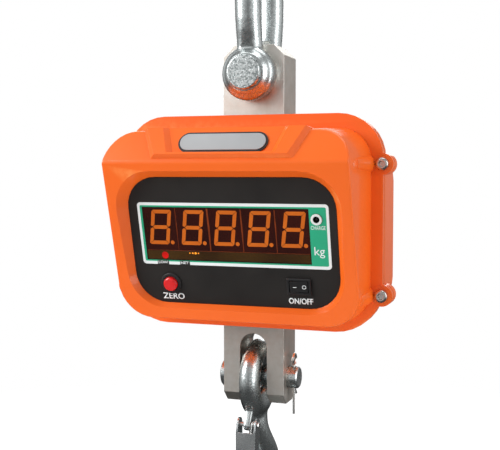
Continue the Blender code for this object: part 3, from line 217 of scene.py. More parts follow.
def streak_group():
    """Fine lines left by a belt or a lathe: the grain drawn out along one axis."""
    group, enter, leave = new_group(
        "drawn_streaks",
        [("Vector", "Vector", None), ("Stretch", "Vector", (1.0, 1.0, 0.04)), ("Scale", "Float", 1500.0)],
        [("Streak", "Float"), ("Patch", "Float")],
    )
    drawn = add_node(group, "VectorMath", operation="MULTIPLY")
    group.links.new(enter.outputs["Vector"], drawn.inputs[0])
    group.links.new(enter.outputs["Stretch"], drawn.inputs[1])
    lines = noise(group, drawn.outputs["Vector"], enter.outputs["Scale"], 2.0)
    patch = noise(group, enter.outputs["Vector"], 26.0, 3.0)
    group.links.new(remap(group, lines, 0.3, 0.7, 0.0, 1.0), leave.inputs["Streak"])
    group.links.new(remap(group, patch, 0.3, 0.7, 0.0, 1.0), leave.inputs["Patch"])
    return group


def rub_and_highlight_group():
    """Where an edge stands proud: rubbed there, and lit lighter there as a painted edge highlight."""
    group, enter, leave = new_group(
        "edge_rub_and_highlight",
        [("Vector", "Vector", None), ("Low", "Float", 0.52), ("High", "Float", 0.62)],
        [("RubAndHighlight", "Float")],
    )
    form = add_node(group, "NewGeometry")
    ramp = add_node(group, "MapRange", clamp=True)
    group.links.new(form.outputs["Pointiness"], ramp.inputs["Value"])
    group.links.new(enter.outputs["Low"], ramp.inputs["From Min"])
    group.links.new(enter.outputs["High"], ramp.inputs["From Max"])
    patchy = remap(group, noise(group, enter.outputs["Vector"], 160.0, 3.0), 0.35, 0.65, 0.35, 1.0)
    group.links.new(maths(group, "MULTIPLY", ramp.outputs["Result"], patchy), leave.inputs["RubAndHighlight"])
    return group


SOFT_GRAIN = grain_group()
ZINC_SPECKLE = speckle_group()
DRAWN_STREAKS = streak_group()
# Painted edge highlight, with some rub: a lighter colour on every proud edge.
EDGE_RUB_AND_HIGHLIGHT = rub_and_highlight_group()


# ---------------------------------------------------------------- materials

class Finish:
    """One material under construction: its tree, its shader and the place it is read from."""

    def __init__(self, name, roughness=0.5, metallic=0.0, **uniform):
        self.made = bpy.data.materials.new(name)
        self.made.use_nodes = True
        self.tree = self.made.node_tree
        self.shader = self.tree.nodes["Principled BSDF"]
        self.place = add_node(self.tree, "TexCoord").outputs["Object"]
        self.set("Roughness", roughness)
        self.set("Metallic", metallic)
        for key, value in uniform.items():
            self.set(key.replace("_", " "), value)

    def set(self, socket, value):
        self.shader.inputs[socket].default_value = value

    def group(self, group, vector=None, **values):
        node = add_node(self.tree, "Group")
        node.node_tree = group
        self.tree.links.new(vector or self.place, node.inputs["Vector"])
        for key, value in values.items():
            node.inputs[key.replace("_", " ")].default_value = value
        return node.outputs

    def mix(self, share, first, second):
        """A colour between two: each is a colour or a socket."""
        node = add_node(self.tree, "Mix", data_type="RGBA")
        self.tree.links.new(share, node.inputs["Factor"])
        for label, value in (("A", first), ("B", second)):
            socket = next(s for s in node.inputs if s.name == label and s.type == "RGBA")
            if isinstance(value, tuple):
                socket.default_value = (*value, 1.0)
            else:
                self.tree.links.new(value, socket)
        return next(s for s in node.outputs if s.type == "RGBA")

    def link(self, value, socket):
        self.tree.links.new(value, self.shader.inputs[socket])

    def rough(self, source, low, high):
        self.link(remap(self.tree, source, 0.0, 1.0, low, high), "Roughness")

    def bump(self, height, distance, strength=1.0):
        node = add_node(self.tree, "Bump")
        node.inputs["Strength"].default_value = strength
        node.inputs["Distance"].default_value = distance
        self.tree.links.new(height, node.inputs["Height"])
        self.link(node.outputs["Normal"], "Normal")


def enamel(name, colour, shade, rub_and_highlight_colour):
    """Glossy stoved enamel on a die casting, with a slight orange peel."""
    made = Finish(name, Coat_Weight=0.30, Coat_Roughness=0.06, Specular_IOR_Level=0.30)
    grain = made.group(SOFT_GRAIN, Scale=420.0, Drift_Scale=14.0)
    rub_and_highlight = made.group(EDGE_RUB_AND_HIGHLIGHT, Low=0.53, High=0.66)
    body = made.mix(grain["Drift"], colour, shade)
    # Proud edges take a lighter orange: painted edge highlight, with a little rub.
    made.link(made.mix(rub_and_highlight["RubAndHighlight"], body, rub_and_highlight_colour), "Base Color")
    made.rough(grain["Grain"], 0.30, 0.38)
    made.bump(grain["Grain"], 0.000035, 0.35)
    return made.made


def zinc_coat(name, light, dark, scale=900.0, depth=0.00007, low=0.20, high=0.42):
    """Zinc over a forging: bright, speckled and a little cloudy."""
    made = Finish(name, metallic=1.0)
    coat = made.group(ZINC_SPECKLE, Scale=scale, Cloud_Scale=38.0)
    rub_and_highlight = made.group(EDGE_RUB_AND_HIGHLIGHT, Low=0.52, High=0.60)
    speckled = made.mix(coat["Speckle"], dark, light)
    clouded = made.mix(remap(made.tree, coat["Cloud"], 0.0, 1.0, 0.0, 0.35), speckled, (0.50, 0.53, 0.53))
    # Proud edges take a paler zinc: rubbed bright, and partly a painted edge highlight.
    made.link(made.mix(rub_and_highlight["RubAndHighlight"], clouded, (0.82, 0.84, 0.85)), "Base Color")
    made.rough(coat["Speckle"], high, low)
    made.bump(coat["Height"], depth, 0.55)
    return made.made


def turned_zinc(name, light, dark):
    """Zinc over a turned head: rings from the lathe, about the shackle pin's axis, under a coarse speckle."""
    made = Finish(name, metallic=1.0)
    coat = made.group(ZINC_SPECKLE, Scale=820.0, Cloud_Scale=60.0)
    centred = add_node(made.tree, "Mapping", vector_type="POINT")
    centred.inputs["Location"].default_value = (0.0, 0.0, -SHACKLE_PIN_UP)
    made.tree.links.new(made.place, centred.inputs["Vector"])
    rings = add_node(made.tree, "TexWave", wave_type="RINGS", rings_direction="Y", wave_profile="SIN")
    rings.inputs["Scale"].default_value = LATHE_RINGS
    rings.inputs["Distortion"].default_value = 2.0
    made.tree.links.new(centred.outputs["Vector"], rings.inputs["Vector"])
    lined = maths(made.tree, "MULTIPLY", rings.outputs["Fac"], 0.16)
    tone = maths(made.tree, "ADD", maths(made.tree, "MULTIPLY", coat["Speckle"], 0.95), lined)
    made.link(made.mix(remap(made.tree, tone, 0.25, 0.85, 0.0, 1.0), dark, light), "Base Color")
    made.rough(coat["Speckle"], 0.45, 0.22)
    made.bump(coat["Height"], 0.00012, 0.8)
    return made.made


def machined(name, light, dark, low, high, stretch=(1.0, 1.0, 0.04), scale=1500.0, depth=0.00001):
    """Metal that keeps the lines of the belt or the lathe."""
    made = Finish(name, metallic=1.0)
    marks = made.group(DRAWN_STREAKS, Stretch=stretch, Scale=scale)
    rub_and_highlight = made.group(EDGE_RUB_AND_HIGHLIGHT, Low=0.52, High=0.60)
    tone = made.mix(marks["Patch"], dark, light)
    # Proud edges take a colour a quarter lighter: rubbed bright, and partly a painted edge highlight.
    made.link(made.mix(rub_and_highlight["RubAndHighlight"], tone, tuple(min(1.0, c * 1.25) for c in light)), "Base Color")
    made.rough(marks["Streak"], low, high)
    made.bump(marks["Streak"], depth, 0.5)
    return made.made


def satin_nickel(name):
    """Nickel plate over milled alloy steel: warm, blasted to a fine frost, with cloudy patches."""
    made = Finish(name, metallic=1.0)
    marks = made.group(DRAWN_STREAKS, Stretch=(1.0, 1.0, 0.25), Scale=1700.0)
    frost = made.group(SOFT_GRAIN, Scale=2600.0, Drift_Scale=30.0)
    rub_and_highlight = made.group(EDGE_RUB_AND_HIGHLIGHT, Low=0.51, High=0.57)
    tone = made.mix(frost["Drift"], (0.66, 0.61, 0.54), (0.80, 0.75, 0.68))
    fine = made.mix(remap(made.tree, frost["Grain"], 0.0, 1.0, 0.0, 0.35), tone, (0.55, 0.51, 0.45))
    # Proud edges take a paler nickel: rubbed bright, and partly a painted edge highlight.
    made.link(made.mix(rub_and_highlight["RubAndHighlight"], fine, (0.86, 0.85, 0.82)), "Base Color")
    made.rough(marks["Streak"], 0.36, 0.50)
    made.bump(frost["Grain"], 0.00002, 0.5)
    return made.made


def moulded(name, colour, tint, low, high, scale=1400.0, depth=0.00003, **uniform):
    """Moulded plastic, rubber or film: an even colour with a fine tooth and a little drift."""
    made = Finish(name, **uniform)
    grain = made.group(SOFT_GRAIN, Scale=scale, Drift_Scale=24.0)
    made.link(made.mix(grain["Drift"], colour, tint), "Base Color")
    made.rough(grain["Grain"], low, high)
    made.bump(grain["Grain"], depth, 0.4)
    return made.made


def lit(name, colour, dim, strength, low=0.12, high=0.2):
    """A lamp or lit bar behind clear plastic, brighter in some places than others, and the painted glow given
    to parts that are no lamps.
    """
    made = Finish(name, Emission_Strength=strength, Coat_Weight=0.6, Coat_Roughness=0.06)
    grain = made.group(SOFT_GRAIN, Scale=900.0, Drift_Scale=70.0)
    tone = made.mix(grain["Drift"], colour, dim)
    made.link(tone, "Base Color")
    made.link(tone, "Emission Color")
    made.rough(grain["Grain"], low, high)
    return made.made


def circuit_board(name):
    """Green board: solder resist with the paler tracks under it."""
    made = Finish(name, Coat_Weight=0.3)
    tracks = add_node(made.tree, "TexBrick")
    made.tree.links.new(made.place, tracks.inputs["Vector"])
    tracks.inputs["Scale"].default_value = 220.0
    tracks.inputs["Mortar Size"].default_value = 0.03
    grain = made.group(SOFT_GRAIN, Scale=700.0)
    board = made.mix(grain["Drift"], (0.012, 0.13, 0.05), (0.02, 0.19, 0.08))
    made.link(made.mix(tracks.outputs["Fac"], board, (0.05, 0.30, 0.12)), "Base Color")
    made.rough(grain["Grain"], 0.35, 0.5)
    made.bump(tracks.outputs["Fac"], 0.00003, 0.5)
    return made.made


# The third colour is the lighter orange of the painted edge highlight on proud edges.
ORANGE = enamel("orange_enamel", (0.93, 0.148, 0.012), (0.89, 0.134, 0.010), (0.98, 0.27, 0.06))
ZINC = zinc_coat("forged_zinc", (0.74, 0.78, 0.78), (0.36, 0.40, 0.40))
ZINC_HEAD = turned_zinc("pin_zinc", (0.80, 0.84, 0.84), (0.24, 0.27, 0.27))
LATCH_ZINC = zinc_coat("pressed_zinc", (0.74, 0.78, 0.79), (0.50, 0.54, 0.55), 1500.0, 0.00003, 0.2, 0.36)
NICKEL = satin_nickel("satin_nickel")
STAINLESS = machined("screw_steel", (0.70, 0.68, 0.65), (0.58, 0.56, 0.53), 0.18, 0.3, (1.0, 0.1, 1.0))
BRIGHT = machined("drawn_wire", (0.80, 0.79, 0.77), (0.62, 0.61, 0.59), 0.16, 0.3, (1.0, 1.0, 0.2))
BRASS = machined("turned_brass", (0.76, 0.56, 0.24), (0.64, 0.46, 0.18), 0.25, 0.4, (1.0, 0.1, 1.0))
PANEL_BLACK = moulded("panel_film", (0.016, 0.014, 0.013), (0.024, 0.021, 0.019), 0.36, 0.46, 1600.0, 0.00002)
BLACK = moulded("black_nylon", (0.012, 0.012, 0.013), (0.022, 0.022, 0.023), 0.34, 0.48, 900.0, 0.00004)
RUBBER = moulded("seal_rubber", (0.012, 0.012, 0.012), (0.024, 0.023, 0.022), 0.65, 0.85, 700.0, 0.00006)
RED = moulded("button_red", (0.80, 0.012, 0.012), (0.68, 0.008, 0.010), 0.28, 0.36, 1200.0, 0.00001,
              Coat_Weight=0.35, Subsurface_Weight=0.05)
PLATE_GREY = moulded("plate_grey", (0.34, 0.35, 0.36), (0.40, 0.41, 0.42), 0.38, 0.5, 1800.0, 0.00001)
WHITE_INK = moulded("white_ink", (0.84, 0.87, 0.87), (0.76, 0.82, 0.82), 0.4, 0.5, 2000.0, 0.00001)
GREEN_INK = moulded("green_ink", (0.010, 0.36, 0.185), (0.012, 0.41, 0.215), 0.35, 0.46, 2000.0, 0.00001)
SOCKET_WHITE = moulded("socket_white", (0.80, 0.82, 0.82), (0.72, 0.75, 0.75), 0.3, 0.42, 1500.0, 0.00001)
WINDOW_RED = moulded("window_red", (0.022, 0.0022, 0.0012), (0.040, 0.0045, 0.0018), 0.05, 0.09, 900.0,
                     0.000004, Coat_Weight=1.0, Coat_Roughness=0.03)
STRIP_BROWN = moulded("strip_brown", (0.030, 0.012, 0.002), (0.062, 0.028, 0.004), 0.08, 0.16, 300.0,
                      0.000004, Coat_Weight=1.0, Coat_Roughness=0.03)
# The module edges are no lamps: their faint glow is painted.
DIVIDER_PAINTED_GLOW = lit("divider_painted_glow", (0.20, 0.035, 0.006), (0.09, 0.015, 0.003), 0.25)
AMBER = lit("amber_bars", (0.47, 0.105, 0.008), (0.41, 0.085, 0.006), 0.35)
AMBER_DOT = lit("amber_dots", (0.95, 0.42, 0.03), (0.62, 0.16, 0.01), 1.2)
RED_LAMP = lit("red_lamp", (0.62, 0.006, 0.004), (0.30, 0.003, 0.002), 0.5)
BOARD = circuit_board("circuit_board")
LEAD_GREY = moulded("lead_grey", (0.30, 0.30, 0.30), (0.36, 0.36, 0.35), 0.5, 0.62, 800.0, 0.00004)

FINISHES = {
    "zinc_plated_steel": ZINC, "bright_steel": BRIGHT, "satin_nickel": NICKEL, "stainless": STAINLESS,
    "orange_paint": ORANGE, "black_plastic": BLACK, "panel_black": PANEL_BLACK, "black_rubber": RUBBER,
    "red_plastic": RED, "amber_lamp": AMBER_DOT, "dark_red_window": WINDOW_RED, "grey_label": PLATE_GREY,
    "green_board": BOARD, "brass": BRASS,
}


def slot_of(name):
    """The record's slot for a CAD node, from the name of the material it was packed with."""
    packed = nodes[name].data.materials[0].name if nodes[name].data.materials else ""
    return next((slot for slot in FINISHES if packed.startswith(slot)), "black_plastic")


SLOTS = {name: slot_of(name) for name in nodes}


def dress(piece, finish):
    piece.data.materials.clear()
    piece.data.materials.append(finish)


# ---------------------------------------------------------------- reworking the CAD shapes

def only(piece):
    """Makes this the one selected and active object."""
    bpy.ops.object.select_all(action="DESELECT")
    piece.select_set(True)
    bpy.context.view_layer.objects.active = piece


def copy_of(name, new_name):
    """A copy of a CAD node with its loose triangles merged, ready to be shaped."""
    piece = nodes[name].copy()
    piece.data = nodes[name].data.copy()
    for key in list(piece.keys()):
        del piece[key]
    piece.name = new_name
    piece.data.name = new_name
    piece.parent = None
    bpy.context.scene.collection.objects.link(piece)
    only(piece)
    bpy.ops.object.mode_set(mode="EDIT")
    bpy.ops.mesh.select_all(action="SELECT")
    bpy.ops.mesh.customdata_custom_splitnormals_clear()
    bpy.ops.mesh.remove_doubles(threshold=0.000004)
    bpy.ops.object.mode_set(mode="OBJECT")
    return piece


def finish_modifier(piece, kind, **settings):
    """Adds a modifier and applies it."""
    step = piece.modifiers.new(kind.title(), kind)
    for key, value in settings.items():
        setattr(step, key, value)
    only(piece)
    bpy.ops.object.modifier_apply(modifier=step.name)


def body_of(name):
    return nodes[name]["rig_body"]


def settle(piece, body, finish, stands_for=()):
    """Puts the finished piece on its body and its finish."""
    dress(piece, finish)
    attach(piece, body)
    if stands_for:
        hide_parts(*stands_for)
    return piece


def eased(name, new_name, finish, width=0.5, segments=3, angle=28.0, dissolve=0.4):
    """The CAD shape with its sharp edges rounded over, as a casting, moulding or machined part has them."""
    piece = copy_of(name, new_name)
    bpy.ops.object.mode_set(mode="EDIT")
    bpy.ops.mesh.select_all(action="SELECT")
    bpy.ops.mesh.dissolve_limited(angle_limit=math.radians(dissolve))
    bpy.ops.object.mode_set(mode="OBJECT")
    finish_modifier(
        piece, "BEVEL", width=width * MM, segments=segments, limit_method="ANGLE",
        angle_limit=math.radians(angle), use_clamp_overlap=True, harden_normals=False,
        miter_outer="MITER_ARC",
    )
    only(piece)
    bpy.ops.object.shade_smooth_by_angle(angle=math.radians(30))
    finish_modifier(piece, "WEIGHTED_NORMAL", weight=80, keep_sharp=True)
    return settle(piece, body_of(name), finish, [name])


def forged(name, new_name, finish, voxel=0.9, passes=8, factor=0.6):
    """The CAD shape with every junction run together, as a drop forging has it."""
    piece = copy_of(name, new_name)
    finish_modifier(piece, "REMESH", mode="VOXEL", voxel_size=voxel * MM, adaptivity=0.0)
    finish_modifier(piece, "SMOOTH", factor=factor, iterations=passes)
    only(piece)
    bpy.ops.object.shade_smooth()
    return settle(piece, body_of(name), finish, [name])


# ---------------------------------------------------------------- flat prints and lettering

def print_piece(name, loops, frame_matrix, lift, thick, finish, body=HANGING):
    """Ink or film lying on a face: closed loops of (across, up) points in millimetres, lifted off it."""
    curve = bpy.data.curves.new(name, "CURVE")
    curve.dimensions = "2D"
    curve.fill_mode = "BOTH"
    curve.extrude = thick / 2 * MM
    for points in loops:
        spline = curve.splines.new("POLY")
        spline.points.add(len(points) - 1)
        for point, (across, up) in zip(spline.points, points):
            point.co = (across * MM, up * MM, 0.0, 1.0)
        spline.use_cyclic_u = True
    piece = bpy.data.objects.new(name, curve)
    bpy.context.scene.collection.objects.link(piece)
    return flat_to_mesh(piece, frame_matrix, lift + thick / 2, finish, body)


def flat_to_mesh(piece, frame_matrix, lift, finish, body):
    only(piece)
    bpy.ops.object.convert(target="MESH")
    piece = bpy.context.view_layer.objects.active
    piece.matrix_world = frame_matrix @ Matrix.Translation((0, 0, lift * MM))
    bpy.ops.object.transform_apply(location=True, rotation=True, scale=True)
    bpy.ops.object.mode_set(mode="EDIT")
    bpy.ops.mesh.select_all(action="SELECT")
    bpy.ops.mesh.remove_doubles(threshold=0.000002)
    bpy.ops.mesh.normals_make_consistent(inside=False)
    bpy.ops.object.mode_set(mode="OBJECT")
    return settle(piece, body, finish)


def lettering(name, words, low, high, finish, bold=0.02, thick=INK, lift=0.0,
              frame_matrix=PRINT, body=HANGING):
    """Words that fill the box from low to high, (across, up) in millimetres."""
    bpy.ops.object.select_all(action="DESELECT")
    bpy.ops.object.text_add(location=(0, 0, 0))
    piece = bpy.context.view_layer.objects.active
    piece.name = name
    piece.data.body = words
    piece.data.size = 1.0
    piece.data.offset = bold
    piece.data.resolution_u = 4
    bpy.ops.object.convert(target="MESH")
    piece = bpy.context.view_layer.objects.active
    xs = [v.co.x for v in piece.data.vertices]
    ys = [v.co.y for v in piece.data.vertices]
    across = (high[0] - low[0]) * MM / (max(xs) - min(xs))
    up = (high[1] - low[1]) * MM / (max(ys) - min(ys))
    shift = Matrix.Translation((low[0] * MM - min(xs) * across, low[1] * MM - min(ys) * up, 0))
    piece.data.transform(shift @ Matrix.Diagonal((across, up, 1, 1)))
    finish_modifier(piece, "SOLIDIFY", thickness=thick * MM, offset=0.0)
    return flat_to_mesh(piece, frame_matrix, lift + thick / 2, finish, body)


def rounded(left, low, right, high, radius, steps=8):
    """A rectangle with rounded corners, as (across, up) points."""
    points = []
    for x, z, first in ((right - radius, low + radius, -90), (right - radius, high - radius, 0),
                        (left + radius, high - radius, 90), (left + radius, low + radius, 180)):
        for i in range(steps + 1):
            turn = math.radians(first + 90 * i / steps)
            points.append((x + radius * math.cos(turn), z + radius * math.sin(turn)))
    return points


def circle(centre, radius, steps=24):
    turns = [2 * math.pi * i / steps for i in range(steps)]
    return [(centre[0] + radius * math.cos(t), centre[1] + radius * math.sin(t)) for t in turns]


# ---------------------------------------------------------------- the panel's prints

def printed_frame():
    """The white line and the green field round the window, with the broad end that holds the unit."""
    outer = rounded(*FRAME_OUTER)
    line = rounded(*FRAME_INNER)
    window = rounded(*WINDOW_OPENING, 3)
    socket = circle(SOCKET_AT, SOCKET_HOLE)
    print_piece("frame_line", [outer, line], PRINT, 0.0, INK, WHITE_INK)
    print_piece("frame_field", [line, window, socket], PRINT, 0.0, INK - 0.02, GREEN_INK)


def bar_outlines(half, tall, bar, gap):
    """The seven bars of a figure about its own middle, as (across, up) points with mitred ends."""
    inner = half - bar
    top = [(gap - half + 0.9, tall), (half - gap - 0.9, tall), (half - gap, tall - 0.7), (inner, tall - bar),
           (-inner, tall - bar), (gap - half, tall - 0.7)]
    side = [(half, tall - gap - 0.9), (half, bar / 2), (half - bar / 2, gap * 0.8),
            (inner, bar / 2 + gap * 0.6), (inner, tall - bar - gap), (half - 0.5, tall - gap * 1.6)]
    middle = [(gap + bar / 2 - half, 0), (gap * 0.6 - inner, bar / 2), (inner - gap * 0.6, bar / 2),
              (half - bar / 2 - gap, 0), (inner - gap * 0.6, -bar / 2), (gap * 0.6 - inner, -bar / 2)]
    shapes = [top, side, middle]
    shapes.append([(-x, z) for x, z in side])
    shapes.append([(x, -z) for x, z in side])
    shapes.append([(-x, -z) for x, z in side])
    shapes.append([(x, -z) for x, z in top])
    return shapes


def figures():
    """Five leaning figures, all bars lit, each with its point."""
    lean = math.tan(FIGURE_LEAN)
    for i in range(5):
        across = FIGURE_FIRST + i * FIGURE_PITCH
        loops = []
        for shape in bar_outlines(FIGURE_HALF_WIDTH, FIGURE_HALF_HEIGHT, FIGURE_BAR, FIGURE_GAP):
            loops.append([(across + x + z * lean, FIGURE_MIDDLE + z) for x, z in shape])
        loops.append(circle((across + 11.9 - 13.6 * lean, FIGURE_MIDDLE - 13.4), 1.75, 16))
        print_piece(f"figure_{i + 1}", loops, PRINT, WINDOW_FACE, 0.1, AMBER)


def behind_window():
    """What shows through the window: edges between the modules and along the strip, both with a faint painted
    glow, the strip under the figures and the small lamps.
    """
    for i, across in enumerate((-48.3, -19.6, 9.75, 38.85)):
        wide = (0.5, 1.3, 1.0, 0.8)[i]
        loops = [[(across - wide * 0.4, 29.6), (across + wide * 0.6, 29.6), (across + wide, 12.0),
                  (across + wide * 0.7, -7.0), (across + 0.1, -7.0), (across - wide * 0.3, 12.0)]]
        print_piece(f"module_edge_{i + 1}", loops, PRINT, WINDOW_FACE, 0.05, DIVIDER_PAINTED_GLOW)
    strip = [(-77.4, STRIP_LOW), (67.0, STRIP_LOW), (67.0, STRIP_HIGH), (-77.4, STRIP_HIGH)]
    print_piece("lamp_strip", [strip], PRINT, WINDOW_FACE, 0.04, STRIP_BROWN)
    edge = [(-77.0, -7.5), (67.0, -7.5), (67.0, -7.2), (-77.0, -7.2)]
    print_piece("strip_edge", [edge], PRINT, WINDOW_FACE, 0.06, DIVIDER_PAINTED_GLOW)
    glow = circle(ZERO_LAMP_AT, 3.1)
    print_piece("zero_lamp_glow", [glow], PRINT, WINDOW_FACE, 0.08, RED_LAMP)
    dots = []
    for i, radius in enumerate((0.55, 0.75, 1.0, 0.6)):
        dots.append(circle((UNIT_LAMPS_AT[0] + UNIT_LAMP_PITCH * i, UNIT_LAMPS_AT[1]), radius, 10))
    print_piece("unit_lamp_dots", dots, PRINT, WINDOW_FACE, 0.08, AMBER_DOT)


def words_on_panel():
    lettering("word_zero", "ZERO", (-67.3, -51.4), (-47.3, -45.9), WHITE_INK)
    lettering("word_on_off", "ON/OFF", (46.1, -50.9), (66.9, -45.6), WHITE_INK, bold=0.03)
    lettering("word_kg", "kg", (70.6, -10.2), (79.3, -0.8), WHITE_INK, bold=0.0, lift=0.05)
    lettering("word_charge", "CHARGE", (68.9, 13.6), (81.0, 16.8), WHITE_INK, bold=0.01, lift=0.05)
    for name, words, left, right in (("low", "LOW", -68.9, -58.5), ("net", "NET", -48.3, -39.2)):
        tab = [(left, TAB_LOW), (right, TAB_LOW), (right, TAB_HIGH), (left, TAB_HIGH)]
        print_piece(f"tab_{name}", [tab], PRINT, 0.05, 0.06, PANEL_BLACK)
        low, high = (left + 0.8, TAB_LOW + 0.7), (right - 0.8, TAB_HIGH - 0.5)
        lettering(f"word_{name}", words, low, high, WHITE_INK, lift=0.08)


printed_frame()
figures()
behind_window()
words_on_panel()


# ---------------------------------------------------------------- hood plate

def pill(grow):
    """The plate's outline, grown by this many millimetres."""
    radius = (PLATE_HIGH - PLATE_LOW) / 2 + grow
    low, high = PLATE_LOW - grow, PLATE_HIGH + grow
    return rounded(-PLATE_HALF - grow, low, PLATE_HALF + grow, high, radius - 0.001, 12)


print_piece("hood_plate_rim", [pill(1.7), pill(0.1)], HOOD_PRINT, 0.0, RIM_THICK, BLACK)


# ---------------------------------------------------------------- the CAD shapes, finished

forged("shackle_bow", "shackle_forging", ZINC, 0.9, 9)
forged("hook", "hook_forging", ZINC, 0.9, 16)
eased("shackle_pin", "shackle_bolt", ZINC_HEAD, 0.9, 4)
eased("shackle_washer", "shackle_ring_washer", ZINC, 0.3)
eased("hook_pin", "hook_bolt", ZINC, 0.6)
eased("load_cell", "load_cell_bar", NICKEL, 0.5, 3, 18.0)
eased("front_cover", "front_casting", ORANGE, 0.9, 3, 24.0)
eased("rear_cover", "rear_casting", ORANGE, 0.9, 3, 24.0)
eased("hood_plate", "hood_label", PLATE_GREY, 0.35)
eased("hook_latch", "latch_pressing", LATCH_ZINC, 0.3)
eased("zero_button", "zero_cap", RED, 0.7, 4, 20.0)
eased("zero_button_body", "zero_collar", BLACK, 0.25)
eased("switch_housing", "switch_surround", BLACK, 0.25)
eased("rocker", "switch_rocker", BLACK, 0.4, 3, 20.0)
for corner in ("top_left", "top_right", "bottom_left", "bottom_right"):
    eased(f"cover_screw_{corner}", f"cover_bolt_{corner}", STAINLESS, 0.3)
for wire_name in ("shackle_split_pin", "hook_split_pin", "latch_spring"):
    eased(wire_name, wire_name + "_wire", BRIGHT, 0.1, 2, 50.0)

for name, node in nodes.items():
    if not node.hide_render:
        dress(node, FINISHES[SLOTS[name]])

dress(nodes["gauge_lead"], LEAD_GREY)
dress(nodes["front_panel"], PANEL_BLACK)


def charge_socket():
    """White flange, dark well and centre pin."""
    piece = copy_of("charge_socket", "charge_inlet")
    finish_modifier(
        piece, "BEVEL", width=0.15 * MM, segments=2, limit_method="ANGLE", angle_limit=math.radians(30)
    )
    only(piece)
    bpy.ops.object.shade_smooth_by_angle(angle=math.radians(30))
    settle(piece, HANGING, SOCKET_WHITE, ["charge_socket"])
    piece.data.materials.append(BLACK)
    to_panel = PANEL.inverted()
    for face in piece.data.polygons:
        place = to_panel @ face.center
        reach = math.hypot(place.x - SOCKET_AT[0] * MM, place.z - SOCKET_AT[1] * MM)
        face.material_index = 1 if reach < SOCKET_WELL * MM or place.y > 0 else 0


charge_socket()


def rocker_marks():
    """The stroke and the ring moulded in the two ends of the rocker."""
    middle = Matrix.Translation((ROCKER_AT[0] * MM, 0, ROCKER_AT[1] * MM))
    rocker = PANEL @ middle @ Matrix.Rotation(ROCKER_TILT, 4, "Z")
    face = rocker @ Matrix.Rotation(math.pi / 2, 4, "X")
    stroke = [(-5.0, -0.25), (-2.2, -0.25), (-2.2, 0.25), (-5.0, 0.25)]
    ring = [circle((4.2, 0.0), 1.7, 20), circle((4.2, 0.0), 1.25, 20)]
    print_piece("rocker_stroke", [stroke], face, 2.1, 0.2, WHITE_INK, "rocker")
    print_piece("rocker_ring", ring, face, 2.2, 0.2, WHITE_INK, "rocker")


rocker_marks()


# ---------------------------------------------------------------- studio

def soft_light(name, place, target, size, power, colour=(1.0, 1.0, 1.0)):
    light = bpy.data.lights.new(name, "AREA")
    light.energy = power
    light.shape = "RECTANGLE"
    light.size, light.size_y = size
    light.color = colour
    holder = bpy.data.objects.new(name, light)
    bpy.context.scene.collection.objects.link(holder)
    holder.location = place
    holder.rotation_euler = (Vector(target) - Vector(place)).to_track_quat("-Z", "Y").to_euler()


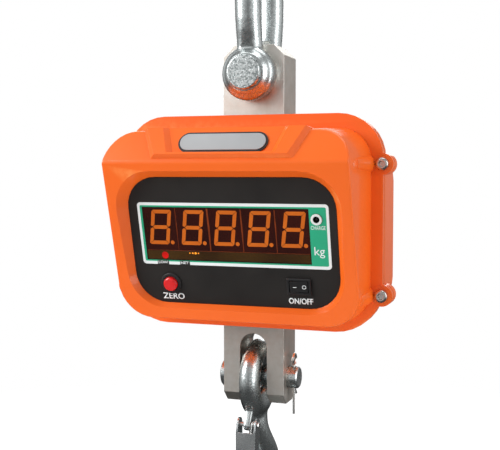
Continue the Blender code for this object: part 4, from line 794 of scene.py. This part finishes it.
def studio():
    """Broad soft boxes at both sides, above and behind, in air that mirrors as darker in front and below."""
    soft_light("key_box", (-1.15, -0.85, 0.45), (0, 0, -0.22), (0.7, 1.0), 20.0)
    soft_light("side_box", (1.20, -0.15, 0.0), (0, 0, -0.24), (0.5, 1.2), 6.0)
    soft_light("top_box", (0.0, 0.1, 0.95), (0, 0, -0.2), (1.1, 0.8), 7.0)
    soft_light("back_box", (-0.4, 1.3, 0.3), (0, 0, -0.2), (1.0, 1.0), 8.0)
    world = bpy.data.worlds.new("studio_air")
    bpy.context.scene.world = world
    world.use_nodes = True
    tree = world.node_tree
    background = tree.nodes["Background"]
    way = add_node(tree, "TexCoord").outputs["Generated"]
    facing = add_node(tree, "VectorMath", operation="DOT_PRODUCT")
    tree.links.new(way, facing.inputs[0])
    facing.inputs[1].default_value = CAMERA_SIDE
    around = add_node(tree, "ValToRGB")
    tree.links.new(remap(tree, facing.outputs["Value"], -1.0, 1.0, 0.0, 1.0), around.inputs["Fac"])
    grey_ramp(around.color_ramp, (
        (0.0, 0.34), (0.15, 0.20), (0.32, 0.70), (0.62, 0.80), (0.93, 0.66), (0.982, 0.48), (0.993, 0.24),
        (1.0, 0.22),
    ))
    upward = add_node(tree, "SeparateXYZ")
    tree.links.new(way, upward.inputs[0])
    height = add_node(tree, "ValToRGB")
    tree.links.new(remap(tree, upward.outputs["Z"], -1.0, 1.0, 0.0, 1.0), height.inputs["Fac"])
    grey_ramp(height.color_ramp, (
        (0.0, 0.10), (0.33, 0.10), (0.50, 1.0), (0.72, 0.90), (0.90, 0.35), (1.0, 0.60),
    ))
    mirrored = maths(tree, "MULTIPLY", around.outputs["Color"], height.outputs["Color"])
    seen = add_node(tree, "LightPath")
    lit_by = choose(tree, seen.outputs["Is Glossy Ray"], AIR_LIGHT, mirrored)
    tree.links.new(choose(tree, seen.outputs["Is Camera Ray"], lit_by, 1.0), background.inputs["Strength"])
    background.inputs["Color"].default_value = (1.0, 1.0, 1.0, 1.0)


def grey_ramp(ramp, levels):
    """Fills a colour ramp with greys, as (position, level)."""
    ramp.elements.remove(ramp.elements[1])
    for i, (position, level) in enumerate(levels):
        stop = ramp.elements[0] if i == 0 else ramp.elements.new(position)
        stop.position = position
        stop.color = (level, level, level, 1.0)


def choose(tree, share, first, second):
    """A value between two, each a number or a socket."""
    node = add_node(tree, "Mix", data_type="FLOAT")
    tree.links.new(share, node.inputs["Factor"])
    for label, value in (("A", first), ("B", second)):
        if isinstance(value, float):
            node.inputs[label].default_value = value
        else:
            tree.links.new(value, node.inputs[label])
    return node.outputs["Result"]


def floor():
    """A pale disc well under the hook, fading into the white."""
    bpy.ops.object.select_all(action="DESELECT")
    bpy.ops.mesh.primitive_circle_add(vertices=64, radius=1.6, fill_type="NGON", location=(0, 0, FLOOR_UP))
    disc = bpy.context.view_layer.objects.active
    disc.name = "floor"
    made = Finish("floor_white", roughness=0.9, Emission_Strength=0.55)
    grain = made.group(SOFT_GRAIN, Scale=60.0, Drift_Scale=2.0)
    made.link(made.mix(grain["Drift"], (0.80, 0.80, 0.80), (0.83, 0.83, 0.83)), "Base Color")
    made.set("Emission Color", (1.0, 1.0, 1.0, 1.0))
    reach = add_node(made.tree, "VectorMath", operation="LENGTH")
    made.tree.links.new(made.place, reach.inputs[0])
    made.link(remap(made.tree, reach.outputs["Value"], 0.25, 1.1, 1.0, 0.0), "Alpha")
    dress(disc, made.made)
    disc.visible_glossy = False


def camera():
    lens = bpy.data.cameras.new("camera")
    lens.lens = 66.79
    lens.sensor_width = 36.0
    holder = bpy.data.objects.new("camera", lens)
    bpy.context.scene.collection.objects.link(holder)
    holder.location = (0.2662, -0.7905, -0.1852)
    holder.rotation_euler = (math.pi / 2 - 0.0565, 0.0, 0.3355)
    bpy.context.scene.camera = holder


studio()
floor()
camera()
bpy.context.scene.view_settings.view_transform = "Standard"
